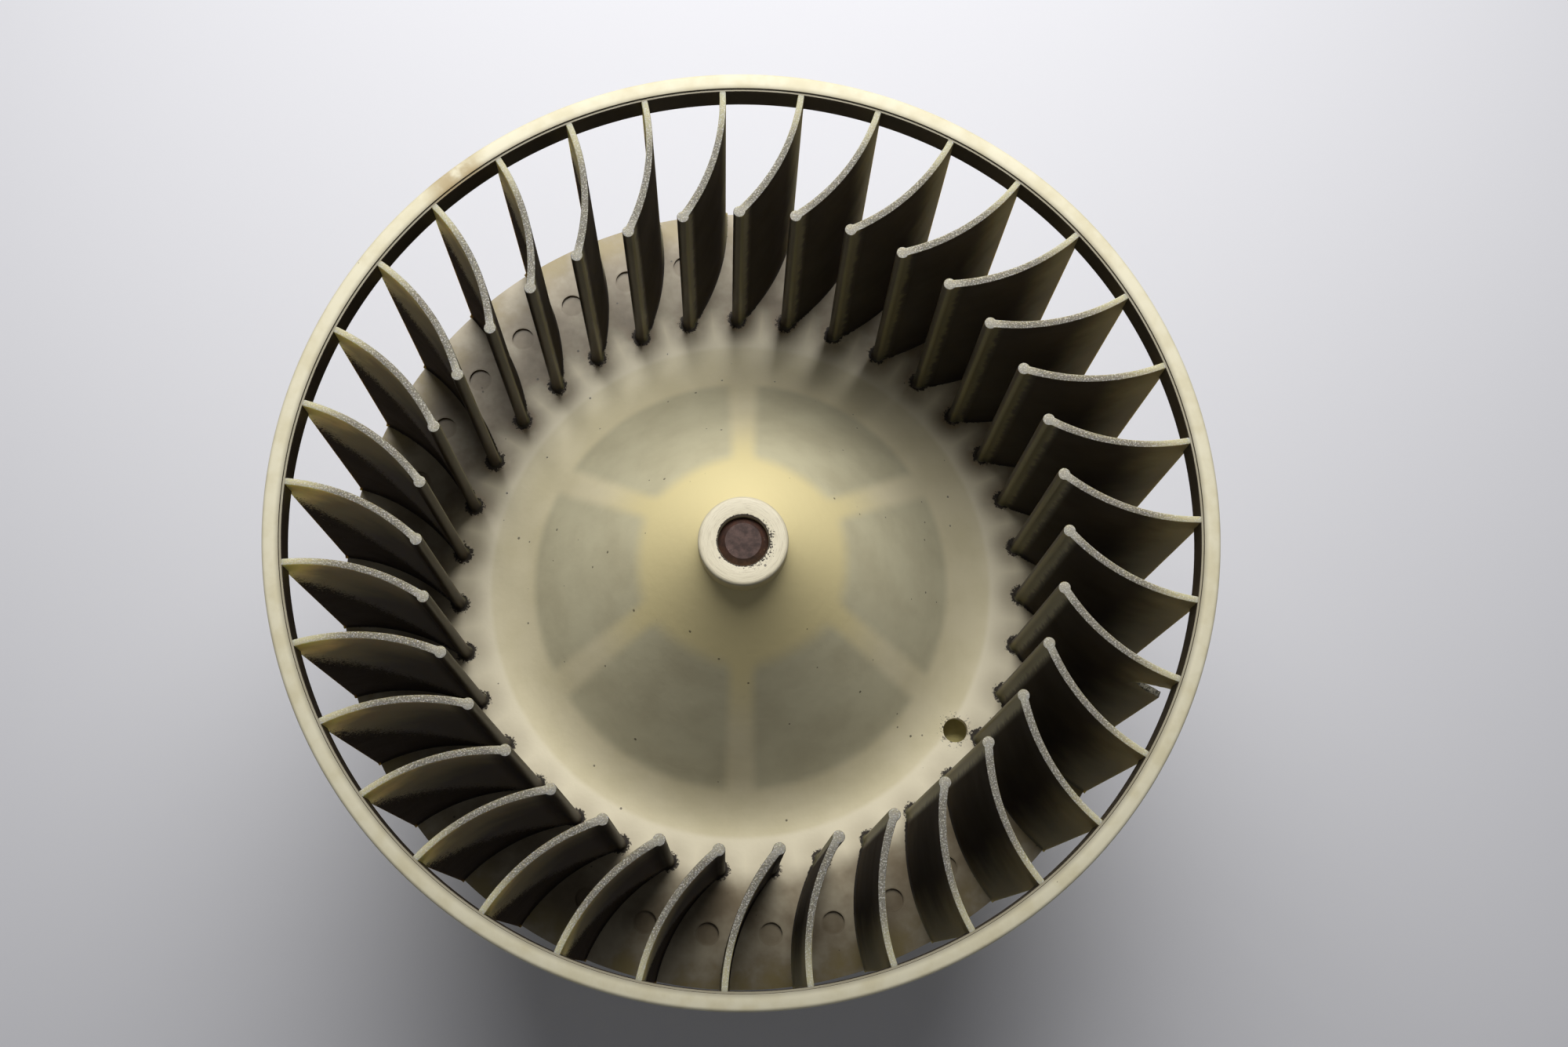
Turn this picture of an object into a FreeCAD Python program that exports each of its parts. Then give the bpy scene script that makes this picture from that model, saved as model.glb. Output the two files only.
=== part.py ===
import FreeCAD, Part
import math
import os

import Sketcher
from FreeCAD import Placement, Rotation, Vector

# Heater blower fan: a one-piece moulded centrifugal wheel on the shaft of a small direct-current motor.
# Millimetres and degrees. +Z runs up the shaft, out of the wheel's open side. The origin is on the
# axis at the bottom of the motor, where the fan stands. +Y runs along one of the dome's six ribs.

SIZES = {
    # Ring at the open end of the wheel
    "ring_outer_dia": "145",
    "ring_wall": "3",
    "ring_height": "5",
    "ring_land_rise": "0.35",
    "ring_lip_width": "0.4",
    "ring_edge_chamfer": "0.6",
    # Blades
    "blade_count": "35",
    "blade_height": "54.5",
    "blade_thickness": "1",
    "blade_tip_radius": "49.45",
    "blade_sweep": "8.34",
    "blade_start": "93.26",
    "blade_bead_dia": "2.1",
    "bead_sides": "8",
    "blade_overlap": "1",
    # Break in the outer edge of one blade, measured down from the blade tops
    "broken_blade": "11",
    "break_start_drop": "7.4",
    "break_deepest_drop": "12.7",
    "break_end_drop": "16.4",
    "break_depth": "4.1",
    "break_curve": "6",
    # Back plate and its screwdriver hole
    "plate_thickness": "2",
    "access_hole_dia": "4.3",
    "access_hole_radius": "45.15",
    "access_hole_angle": "-33.7",
    # Dome, ribs and hub
    "dome_wall": "2",
    "dome_foot_dia": "68",
    "dome_foot_rise": "5.7",
    "dome_skirt": "9.9",
    "skirt_sag": "0.33",
    "cavity_margin": "2",
    "rib_count": "6",
    "rib_thickness": "1.8",
    "rib_lift": "0.8",
    "rib_overlap": "1",
    "hub_dia": "14.4",
    "hub_rise": "39.9",
    "hub_stand": "4.7",
    "hub_edge_chamfer": "0.5",
    "hub_bore_lead": "0.3",
    "hub_fit": "0.01",
    "core_dia": "33.2",
    "core_lift": "4",
    "hub_tube_dia": "17",
    "hub_gap": "4",
    # Shaft
    "shaft_dia": "8",
    "shaft_recess": "0.4",
    "shaft_chamfer": "1.1",
    "shaft_end_gap": "0.2",
    # Motor can and its nose
    "can_dia": "62",
    "can_length": "63",
    "can_wall": "1.3",
    "can_shoulder": "3",
    "can_nesting": "2.5",
    "nose_height": "9",
    "shaft_passage": "0.8",
    # Bearings
    "bearing_dia": "14",
    "front_bearing_length": "8",
    "rear_bearing_length": "7",
    "bearing_clearance": "0.02",
    "thrust_pad_thickness": "1.2",
    "thrust_pad_play": "1",
    # Mounting flange
    "flange_dia": "104",
    "flange_thickness": "1.5",
    "flange_gap": "4",
    "flange_collar": "7",
    "flange_hole_dia": "4.5",
    "flange_hole_count": "3",
    "flange_hole_angle": "30",
    "flange_hole_radius": "43.5",
    "flange_fit": "0.05",
    # End cap
    "cap_flange_height": "5",
    "cap_chamfer": "1",
    "cap_floor": "3",
    "cap_wall": "2",
    "cap_spigot_height": "6",
    "cap_fit": "0.1",
    # Armature
    "core_stack_dia": "41",
    "core_stack_length": "24",
    "core_stack_start": "31",
    "slot_count": "10",
    "slot_width": "4",
    "slot_root_dia": "22",
    "coil_clearance": "0.3",
    "coil_outer_dia": "37",
    "coil_inner_dia": "13",
    "coil_end_length": "6",
    # Commutator
    "commutator_dia": "19",
    "commutator_length": "10",
    "commutator_start": "13",
    "commutator_slot_width": "0.6",
    "commutator_slot_depth": "1",
    # Magnets
    "air_gap": "0.7",
    "magnet_span": "130",
    "magnet_length": "38",
    "glue_line": "0.1",
    # Brushes, their boxes and springs
    "brush_gap": "0.2",
    "brush_width": "5.4",
    "brush_height": "6.4",
    "brush_length": "11",
    "brush_play": "0.2",
    "spring_seat": "0.05",
    "box_wall": "0.6",
    "box_standoff": "0.8",
    "pedestal_length": "10",
    "spring_bow": "2.4",
    "spring_leaf": "0.4",
    "spring_width": "4",
    # Terminals
    "terminal_width": "6.3",
    "terminal_thickness": "0.8",
    "terminal_inner_radius": "20",
    "terminal_reach": "10",
    "terminal_slot_play": "0.1",
}

# Radii, levels and slopes that follow from the sizes
PLACES = {
    "shaft_r": "Sizes.shaft_dia / 2",
    "bearing_r": "Sizes.bearing_dia / 2",
    "can_r": "Sizes.can_dia / 2",
    "can_inner_r": "Places.can_r - Sizes.can_wall",
    "can_bottom": "Sizes.cap_flange_height",
    "can_top": "Places.can_bottom + Sizes.can_length",
    "nose_top": "Places.can_top + Sizes.nose_height",
    "nose_r": "Places.bearing_r + Sizes.can_wall",
    "shoulder_set": "Sizes.can_wall * (sqrt(2) - 1)",
    "wheel_floor": "Places.can_top - Sizes.can_nesting",
    "plate_top": "Places.wheel_floor + Sizes.plate_thickness",
    "blade_top": "Places.plate_top + Sizes.blade_height",
    "ring_outer_r": "Sizes.ring_outer_dia / 2",
    "ring_r": "Places.ring_outer_r - Sizes.ring_wall",
    "ring_bottom": "Places.blade_top - Sizes.ring_height",
    "land_top": "Places.blade_top + Sizes.ring_land_rise",
    "tip_x": "Sizes.blade_tip_radius * cos(Sizes.blade_sweep * 1 deg)",
    "tip_y": "Sizes.blade_tip_radius * sin(Sizes.blade_sweep * 1 deg)",
    "blade_curve": "((Places.ring_r - Places.tip_x)^2 + Places.tip_y^2) / (2 * Places.tip_y)",
    "tip_normal_x": "(Places.tip_x - Places.ring_r) / Places.blade_curve",
    "tip_normal_y": "(Places.tip_y - Places.blade_curve) / Places.blade_curve",
    "blade_half": "Sizes.blade_thickness / 2",
    "blade_pitch": "360 / Sizes.blade_count",
    "break_angle": "Sizes.blade_start - Sizes.broken_blade * Places.blade_pitch",
    "hub_r": "Sizes.hub_dia / 2",
    "bore_r": "Places.shaft_r + Sizes.hub_fit",
    "hub_top": "Places.plate_top + Sizes.hub_rise",
    "cone_top": "Places.hub_top - Sizes.hub_stand",
    "foot_r": "Sizes.dome_foot_dia / 2",
    "foot_z": "Places.plate_top + Sizes.dome_foot_rise",
    "step_r": "Places.foot_r + Sizes.dome_skirt",
    "cone_slope": "(Places.cone_top - Places.foot_z) / (Places.foot_r - Places.hub_r)",
    "cone_stretch": "sqrt(1 + Places.cone_slope^2)",
    "bend_r": "Places.foot_r + Sizes.dome_skirt / 2",
    "bend_z": "Places.plate_top + Sizes.skirt_sag * Sizes.dome_foot_rise",
    "cone_drop": "Sizes.dome_wall * Places.cone_stretch",
    "cavity_r": "Places.foot_r + Sizes.cavity_margin",
    "cavity_rim": "Places.foot_z - Places.cone_slope * Sizes.cavity_margin - Places.cone_drop",
    "core_r": "Sizes.core_dia / 2",
    "core_top": "Places.cone_top - Places.cone_slope * (Places.core_r - Places.hub_r) - Places.cone_drop",
    "tube_r": "Sizes.hub_tube_dia / 2",
    "tube_bottom": "Places.nose_top + Sizes.hub_gap",
    "core_bottom": "Places.tube_bottom + Sizes.core_lift",
    "rib_start": "Places.core_r - Sizes.rib_overlap",
    "rib_end": "Places.cavity_r + Sizes.rib_overlap",
    "thrust_top": "Sizes.cap_floor + Sizes.thrust_pad_thickness",
    "shaft_bottom": "Places.thrust_top + Sizes.shaft_end_gap",
    "shaft_top": "Places.hub_top - Sizes.shaft_recess",
    "flange_r": "Sizes.flange_dia / 2",
    "flange_inner_r": "Places.can_r + Sizes.flange_fit",
    "flange_collar_r": "Places.flange_inner_r + Sizes.flange_thickness",
    "flange_top": "Places.wheel_floor - Sizes.flange_gap",
    "flange_bottom": "Places.flange_top - Sizes.flange_thickness",
    "spigot_r": "Places.can_inner_r - Sizes.cap_fit",
    "cap_inner_r": "Places.spigot_r - Sizes.cap_wall",
    "spigot_top": "Places.can_bottom + Sizes.cap_spigot_height",
    "cap_boss_r": "Places.bearing_r + Sizes.cap_wall",
    "rear_bearing_start": "Places.thrust_top + Sizes.shaft_end_gap",
    "rear_bearing_top": "Places.rear_bearing_start + Sizes.rear_bearing_length",
    "front_bearing_top": "Places.nose_top - Sizes.can_wall",
    "front_bearing_start": "Places.front_bearing_top - Sizes.front_bearing_length",
    "stack_r": "Sizes.core_stack_dia / 2",
    "stack_top": "Sizes.core_stack_start + Sizes.core_stack_length",
    "coil_bottom": "Sizes.core_stack_start - Sizes.coil_clearance",
    "coil_top": "Places.stack_top + Sizes.coil_clearance",
    "coil_r": "Sizes.coil_outer_dia / 2",
    "commutator_r": "Sizes.commutator_dia / 2",
    "commutator_top": "Sizes.commutator_start + Sizes.commutator_length",
    "brush_level": "Sizes.commutator_start + Sizes.commutator_length / 2",
    "magnet_inner_r": "Places.stack_r + Sizes.air_gap",
    "magnet_outer_r": "Places.can_inner_r - Sizes.glue_line",
    "magnet_bottom": "Sizes.core_stack_start + Sizes.core_stack_length / 2 - Sizes.magnet_length / 2",
    "brush_face": "Places.commutator_r + Sizes.brush_gap",
    "brush_back": "Places.brush_face + Sizes.brush_length",
    "box_inner_height": "Sizes.brush_height + 2 * Sizes.brush_play",
    "box_inner_width": "Sizes.brush_width + 2 * Sizes.brush_play",
    "box_height": "Places.box_inner_height + 2 * Sizes.box_wall",
    "box_width": "Places.box_inner_width + 2 * Sizes.box_wall",
    "box_start": "Places.commutator_r + Sizes.box_standoff",
    "spring_start": "Places.brush_back + Sizes.spring_seat",
    "spring_end": "Places.spring_start + Sizes.spring_bow",
    "box_end": "Places.spring_end + Sizes.box_wall",
    "box_bottom": "Places.brush_level - Places.box_height / 2",
    "spring_half": "Sizes.brush_height / 2",
    "spring_curve": "(Places.spring_half^2 + Sizes.spring_bow^2) / (2 * Sizes.spring_bow)",
    "spring_inner_half": "sqrt((Places.spring_curve - Sizes.spring_leaf)^2"
                         " - (Places.spring_curve - Sizes.spring_bow)^2)",
    "terminal_end": "Places.can_r + Sizes.terminal_reach",
}

doc = FreeCAD.newDocument("HeaterBlowerFan")


def make_sheet(name, cells, mark=""):
    """Writes one row for each cell: its name in column A, and in column B its value under that alias."""
    sheet = doc.addObject("Spreadsheet::Sheet", name)
    for row, (alias, content) in enumerate(cells.items(), start=1):
        sheet.set(f"A{row}", alias)
        sheet.setAlias(f"B{row}", alias)
        sheet.set(f"B{row}", mark + content)
    return sheet


sizes = make_sheet("Sizes", SIZES)
doc.recompute()
places = make_sheet("Places", PLACES, "=")
doc.recompute()


def value_of(expression):
    """The number that an expression on the two sheets gives."""
    result = sizes.evalExpression(expression)
    return float(getattr(result, "Value", result))


def make_body(name):
    body = doc.addObject("PartDesign::Body", name)
    body.Label = name
    return body


def origin_item(body, role):
    return next(item for item in body.Origin.OriginFeatures if item.Role == role)


def make_sketch(body, name, plane, lift=None, turn=None, turn_axis=Vector(0, 0, 1)):
    """A sketch on one of the body's own planes, lifted or turned by expressions where they are given."""
    sketch = body.newObject("Sketcher::SketchObject", name)
    sketch.AttachmentSupport = [(origin_item(body, plane), "")]
    sketch.MapMode = "FlatFace"
    if turn is not None:
        sketch.AttachmentOffset = Placement(Vector(0, 0, 0), Rotation(turn_axis, value_of(turn)))
        sketch.setExpression("AttachmentOffset.Rotation.Angle", turn)
    if lift is not None:
        direction, height = lift
        sketch.setExpression("AttachmentOffset.Base." + direction, height)
    return sketch


def tie(sketch, kind, geometry, end, expression):
    """Ties one end of an edge to the sketch's origin by an expression, across or up."""
    number = sketch.addConstraint(Sketcher.Constraint(kind, -1, 1, geometry, end, value_of(expression)))
    sketch.setExpression(f"Constraints[{number}]", expression)


def arc_between(start, end, radius, turns_left):
    """The shorter arc from start to end, and the numbers of its ends in the order travelled."""
    chord = end - start
    side = Vector(-chord.y, chord.x, 0).normalize()
    reach = math.sqrt(radius ** 2 - (chord.Length / 2) ** 2)
    centre = (start + end) / 2 + side * (reach if turns_left else -reach)
    first, last = (start, end) if turns_left else (end, start)
    angles = [math.atan2(point.y - centre.y, point.x - centre.x) for point in (first, last)]
    circle = Part.Circle(centre, Vector(0, 0, 1), radius)
    return Part.ArcOfCircle(circle, *angles), ((1, 2) if turns_left else (2, 1))


def add_outline(sketch, corners):
    """Draws a closed outline through corners given as expressions. A corner with a third and fourth
    item is reached by an arc: its radius, and the way it turns."""
    points = [Vector(value_of(corner[0]), value_of(corner[1]), 0) for corner in corners]
    edges = []
    for index, corner in enumerate(corners):
        start, end = points[index - 1], points[index]
        if len(corner) == 2:
            number = sketch.addGeometry(Part.LineSegment(start, end))
            ends = (1, 2)
        else:
            arc, ends = arc_between(start, end, value_of(corner[2]), corner[3] == "left")
            number = sketch.addGeometry(arc)
        edges.append((number, ends))
    for index, corner in enumerate(corners):
        number, ends = edges[index]
        following, following_ends = edges[(index + 1) % len(edges)]
        sketch.addConstraint(
            Sketcher.Constraint("Coincident", number, ends[1], following, following_ends[0]))
        tie(sketch, "DistanceX", number, ends[1], corner[0])
        tie(sketch, "DistanceY", number, ends[1], corner[1])
        if len(corner) == 4:
            bound = sketch.addConstraint(Sketcher.Constraint("Radius", number, value_of(corner[2])))
            sketch.setExpression(f"Constraints[{bound}]", corner[2])


def add_circle(sketch, across, up, radius):
    """Draws a circle whose centre and radius are expressions."""
    centre = Vector(value_of(across), value_of(up), 0)
    circle = Part.Circle(centre, Vector(0, 0, 1), value_of(radius))
    number = sketch.addGeometry(circle)
    tie(sketch, "DistanceX", number, 3, across)
    tie(sketch, "DistanceY", number, 3, up)
    bound = sketch.addConstraint(Sketcher.Constraint("Radius", number, value_of(radius)))
    sketch.setExpression(f"Constraints[{bound}]", radius)


def rectangle(low_x, low_y, high_x, high_y):
    return [(low_x, low_y), (high_x, low_y), (high_x, high_y), (low_x, high_y)]


def polygon(radius, sides, across="0", up="0"):
    """The corners of a regular polygon round a centre."""
    return [(f"{across} + {radius} * cos({step} * 360 / {sides} * 1 deg)",
             f"{up} + {radius} * sin({step} * 360 / {sides} * 1 deg)")
            for step in range(round(value_of(sides)))]


def add_feature(body, kind, name, sketch, grows):
    """Adds a feature to the body, and stops if it left the solid's volume as it was or went the wrong way."""
    before = body.Shape.Volume if body.Tip else 0
    feature = body.newObject("PartDesign::" + kind, name)
    feature.Profile = sketch
    sketch.Visibility = False
    return feature, before, grows


def settle(body, added):
    feature, before, grows = added
    doc.recompute()
    change = body.Shape.Volume - before
    if change == 0 or (change > 0) != grows:
        raise RuntimeError(f"{feature.Name} changed the volume of {body.Name} by {change}")
    return feature


def revolve(body, name, corners, cut=False):
    """Turns a half-section about the shaft's axis, to add or to cut."""
    sketch = make_sketch(body, name + "_section", "XZ_Plane")
    add_outline(sketch, corners)
    added = add_feature(body, "Groove" if cut else "Revolution", name, sketch, not cut)
    added[0].ReferenceAxis = (sketch, ["V_Axis"])
    added[0].Angle = 360
    return settle(body, added)


def pad(body, name, sketch, length, symmetric=False):
    added = add_feature(body, "Pad", name, sketch, True)
    added[0].setExpression("Length", length)
    if symmetric:
        added[0].SideType = "Symmetric"
    return settle(body, added)


def pocket(body, name, sketch, length, symmetric=False):
    added = add_feature(body, "Pocket", name, sketch, False)
    added[0].setExpression("Length", length)
    if symmetric:
        added[0].SideType = "Symmetric"
    return settle(body, added)


def polar_pattern(body, name, originals, count):
    """Repeats features evenly round the shaft's axis."""
    before = body.Shape.Volume
    pattern = body.newObject("PartDesign::PolarPattern", name)
    pattern.Originals = originals
    pattern.Axis = (origin_item(body, "Z_Axis"), [""])
    pattern.Angle = 360
    pattern.setExpression("Occurrences", count)
    body.Tip = pattern
    doc.recompute()
    if body.Shape.Volume == before:
        raise RuntimeError(f"{name} repeated nothing on {body.Name}")
    return pattern


def turned_piece(name, corners):
    """A body that is one turned half-section."""
    body = make_body(name)
    revolve(body, name + "_turning", corners)
    return body


def tube_corners(inner, outer, bottom, top):
    return rectangle(inner, bottom, outer, top)


def make_blower_wheel():
    """The moulding: plate, dome and hub are turned, then come ribs, blades, ring, holes and the break."""
    body = make_body("blower_wheel")
    revolve(body, "plate_and_dome", [
        ("Places.bore_r", "Places.tube_bottom"),
        ("Places.tube_r", "Places.tube_bottom"),
        ("Places.tube_r", "Places.core_bottom"),
        ("Places.core_r", "Places.core_bottom"),
        ("Places.core_r", "Places.core_top"),
        ("Places.cavity_r", "Places.cavity_rim"),
        ("Places.cavity_r", "Places.wheel_floor"),
        ("Places.ring_r", "Places.wheel_floor"),
        ("Places.ring_r", "Places.plate_top"),
        ("Places.step_r", "Places.plate_top"),
        ("Places.bend_r", "Places.bend_z"),
        ("Places.foot_r", "Places.foot_z"),
        ("Places.hub_r", "Places.cone_top"),
        ("Places.hub_r", "Places.hub_top - Sizes.hub_edge_chamfer"),
        ("Places.hub_r - Sizes.hub_edge_chamfer", "Places.hub_top"),
        ("Places.bore_r + Sizes.hub_bore_lead", "Places.hub_top"),
        ("Places.bore_r", "Places.hub_top - Sizes.hub_bore_lead"),
    ])
    make_ribs(body)
    make_blades(body)
    make_ring(body)
    make_access_hole(body)
    make_blade_break(body)
    return body


def make_ribs(body):
    sketch = make_sketch(body, "rib_outline", "YZ_Plane")
    add_outline(sketch, [
        ("Places.rib_start", "Places.core_bottom"),
        ("Places.rib_end", "Places.wheel_floor + Sizes.rib_lift"),
        ("Places.rib_end", "Places.cavity_rim + Sizes.rib_overlap"),
        ("Places.rib_start", "Places.core_top + Sizes.rib_overlap"),
    ])
    rib = pad(body, "rib", sketch, "Sizes.rib_thickness", symmetric=True)
    polar_pattern(body, "ribs", [rib], "Sizes.rib_count")


def make_blades(body):
    """Each blade leaves the ring square to it and curves round to a beaded inner edge."""
    blade_floor = "Places.plate_top - Places.blade_half"
    blade_length = "Sizes.blade_height + Places.blade_half"
    outline = make_sketch(body, "blade_outline", "XY_Plane", ("z", blade_floor), "Sizes.blade_start")
    add_outline(outline, [
        ("Places.ring_r + Sizes.blade_overlap", "-Places.blade_half"),
        ("Places.ring_r + Sizes.blade_overlap", "Places.blade_half"),
        ("Places.ring_r", "Places.blade_half"),
        ("Places.tip_x - Places.blade_half * Places.tip_normal_x",
         "Places.tip_y - Places.blade_half * Places.tip_normal_y",
         "Places.blade_curve - Places.blade_half", "right"),
        ("Places.tip_x + Places.blade_half * Places.tip_normal_x",
         "Places.tip_y + Places.blade_half * Places.tip_normal_y"),
        ("Places.ring_r", "-Places.blade_half", "Places.blade_curve + Places.blade_half", "left"),
    ])
    blade = pad(body, "blade", outline, blade_length)
    bead_outline = make_sketch(body, "bead_outline", "XY_Plane", ("z", blade_floor), "Sizes.blade_start")
    add_outline(bead_outline, polygon(
        "Sizes.blade_bead_dia / 2", "Sizes.bead_sides", "Places.tip_x", "Places.tip_y"))
    bead = pad(body, "bead", bead_outline, blade_length)
    polar_pattern(body, "blades", [blade, bead], "Sizes.blade_count")
    revolve(body, "blade_trim", rectangle(
        "Places.ring_r", "Places.wheel_floor",
        "Places.ring_r + 2 * Sizes.blade_overlap", "Places.ring_bottom"), cut=True)


def make_ring(body):
    """The ring's land stands a little proud of the blade tops, behind a narrow lip."""
    edge = "Sizes.ring_edge_chamfer"
    revolve(body, "ring", [
        ("Places.ring_r", "Places.ring_bottom"),
        (f"Places.ring_outer_r - {edge}", "Places.ring_bottom"),
        ("Places.ring_outer_r", f"Places.ring_bottom + {edge}"),
        ("Places.ring_outer_r", f"Places.land_top - {edge}"),
        (f"Places.ring_outer_r - {edge}", "Places.land_top"),
        ("Places.ring_r + Sizes.ring_lip_width", "Places.land_top"),
        ("Places.ring_r + Sizes.ring_lip_width", "Places.blade_top"),
        ("Places.ring_r", "Places.blade_top"),
    ])


def make_access_hole(body):
    """A screwdriver reaches the flange's screws through this hole."""
    outline = make_sketch(
        body, "access_hole_outline", "XY_Plane", ("z", "Places.plate_top"), "Sizes.access_hole_angle")
    add_circle(outline, "Sizes.access_hole_radius", "0", "Sizes.access_hole_dia / 2")
    pocket(body, "access_hole", outline, "2 * Sizes.plate_thickness")


def make_blade_break(body):
    outline = make_sketch(body, "break_outline", "XZ_Plane", None, "Places.break_angle", Vector(0, 1, 0))
    outer = "Places.ring_r + Sizes.blade_overlap"
    add_outline(outline, [
        (outer, "Places.blade_top - Sizes.break_start_drop"),
        ("Places.ring_r", "Places.blade_top - Sizes.break_start_drop"),
        ("Places.ring_r - Sizes.break_depth", "Places.blade_top - Sizes.break_deepest_drop",
         "Sizes.break_curve", "left"),
        ("Places.ring_r", "Places.blade_top - Sizes.break_end_drop", "Sizes.break_curve", "left"),
        (outer, "Places.blade_top - Sizes.break_end_drop"),
    ])
    pocket(body, "blade_break", outline, "4 * Sizes.blade_thickness", symmetric=True)


def annulus(inner, outer):
    """A ring-shaped space from the plate's top up past the ring's land."""
    bottom = Vector(0, 0, value_of("Places.plate_top"))
    height = value_of("Places.land_top - Places.plate_top + Sizes.ring_wall")
    return Part.makeCylinder(value_of(outer), height, bottom).cut(
        Part.makeCylinder(value_of(inner), height, bottom))


def moulding_in_zones(wheel):
    """The moulding as touching solids of one node: the plate with its dome, each blade, and the ring. A hull
    goes round each, so that the air's way in stays open."""
    inside = "Sizes.blade_tip_radius - Sizes.blade_bead_dia"
    outside = "Places.ring_outer_r + Sizes.ring_wall"
    zones = [
        wheel.cut(annulus(inside, outside)),
        wheel.common(annulus(inside, "Places.ring_r")),
        wheel.common(annulus("Places.ring_r", outside)),
    ]
    return Part.Compound([solid for zone in zones for solid in zone.Solids])


def make_motor_shaft():
    end = "Sizes.shaft_chamfer"
    return turned_piece("motor_shaft", [
        ("0", "Places.shaft_bottom"),
        (f"Places.shaft_r - {end}", "Places.shaft_bottom"),
        ("Places.shaft_r", f"Places.shaft_bottom + {end}"),
        ("Places.shaft_r", f"Places.shaft_top - {end}"),
        (f"Places.shaft_r - {end}", "Places.shaft_top"),
        ("0", "Places.shaft_top"),
    ])


def make_motor_can():
    """A drawn cup, open at the bottom, whose raised nose holds the front bearing."""
    return turned_piece("motor_can", [
        ("Places.can_inner_r", "Places.can_bottom"),
        ("Places.can_r", "Places.can_bottom"),
        ("Places.can_r", "Places.can_top - Sizes.can_shoulder"),
        ("Places.can_r - Sizes.can_shoulder", "Places.can_top"),
        ("Places.nose_r", "Places.can_top"),
        ("Places.nose_r", "Places.nose_top"),
        ("Places.shaft_r + Sizes.shaft_passage", "Places.nose_top"),
        ("Places.shaft_r + Sizes.shaft_passage", "Places.front_bearing_top"),
        ("Places.bearing_r", "Places.front_bearing_top"),
        ("Places.bearing_r", "Places.can_top - Sizes.can_wall"),
        ("Places.can_r - Sizes.can_shoulder - Places.shoulder_set", "Places.can_top - Sizes.can_wall"),
        ("Places.can_inner_r", "Places.can_top - Sizes.can_shoulder - Places.shoulder_set"),
    ])


def make_mounting_flange():
    """A pressed disc with a collar on the can and three screw holes."""
    body = turned_piece("mounting_flange", [
        ("Places.flange_inner_r", "Places.flange_top - Sizes.flange_collar"),
        ("Places.flange_collar_r", "Places.flange_top - Sizes.flange_collar"),
        ("Places.flange_collar_r", "Places.flange_bottom"),
        ("Places.flange_r", "Places.flange_bottom"),
        ("Places.flange_r", "Places.flange_top"),
        ("Places.flange_inner_r", "Places.flange_top"),
    ])
    outline = make_sketch(
        body, "flange_hole_outline", "XY_Plane", ("z", "Places.flange_top"), "Sizes.flange_hole_angle")
    add_circle(outline, "Sizes.flange_hole_radius", "0", "Sizes.flange_hole_dia / 2")
    hole = pocket(body, "flange_hole", outline, "2 * Sizes.flange_thickness")
    polar_pattern(body, "flange_holes", [hole], "Sizes.flange_hole_count")
    return body


def make_end_cap():
    """The cap's spigot plugs into the can, its flat foot stands on the bench and its pedestals carry the brushes."""
    body = turned_piece("end_cap", [
        ("0", "0"),
        ("Places.can_r - Sizes.cap_chamfer", "0"),
        ("Places.can_r", "Sizes.cap_chamfer"),
        ("Places.can_r", "Places.can_bottom"),
        ("Places.spigot_r", "Places.can_bottom"),
        ("Places.spigot_r", "Places.spigot_top"),
        ("Places.cap_inner_r", "Places.spigot_top"),
        ("Places.cap_inner_r", "Sizes.cap_floor"),
        ("Places.cap_boss_r", "Sizes.cap_floor"),
        ("Places.cap_boss_r", "Places.rear_bearing_top"),
        ("Places.bearing_r", "Places.rear_bearing_top"),
        ("Places.bearing_r", "Sizes.cap_floor"),
        ("0", "Sizes.cap_floor"),
    ])
    pedestal_outline = make_sketch(body, "pedestal_outline", "XY_Plane", ("z", "Sizes.cap_floor / 2"))
    add_outline(pedestal_outline, rectangle(
        "Places.box_end - Sizes.pedestal_length", "-Places.box_width / 2",
        "Places.box_end", "Places.box_width / 2"))
    pedestal = pad(body, "pedestal", pedestal_outline, "Places.box_bottom - Sizes.cap_floor / 2")
    polar_pattern(body, "pedestals", [pedestal], "2")
    slot_width = "Sizes.terminal_width / 2 + Sizes.terminal_slot_play"
    slot_outline = make_sketch(body, "terminal_slot_outline", "XZ_Plane")
    add_outline(slot_outline, rectangle(
        f"-({slot_width})", "Sizes.cap_floor",
        slot_width, "Sizes.cap_floor + Sizes.terminal_thickness + Sizes.terminal_slot_play"))
    added = add_feature(body, "Pocket", "terminal_slots", slot_outline, False)
    added[0].SideType = "Two sides"
    added[0].setExpression("Length", "Places.can_r + Sizes.cap_chamfer")
    added[0].setExpression("Length2", "Places.can_r + Sizes.cap_chamfer")
    settle(body, added)
    return body


def make_bearing(name, bottom, top):
    return turned_piece(name, tube_corners(
        "Places.shaft_r + Sizes.bearing_clearance", "Places.bearing_r", bottom, top))


def make_armature_core():
    body = turned_piece("armature_core", tube_corners(
        "Places.shaft_r", "Places.stack_r", "Sizes.core_stack_start", "Places.stack_top"))
    outline = make_sketch(body, "slot_outline", "XY_Plane", ("z", "Places.stack_top"))
    add_outline(outline, rectangle(
        "Sizes.slot_root_dia / 2", "-Sizes.slot_width / 2",
        "Places.stack_r + Sizes.slot_width", "Sizes.slot_width / 2"))
    slot = pocket(body, "slot", outline, "Sizes.core_stack_length")
    polar_pattern(body, "slots", [slot], "Sizes.slot_count")
    return body


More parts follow.
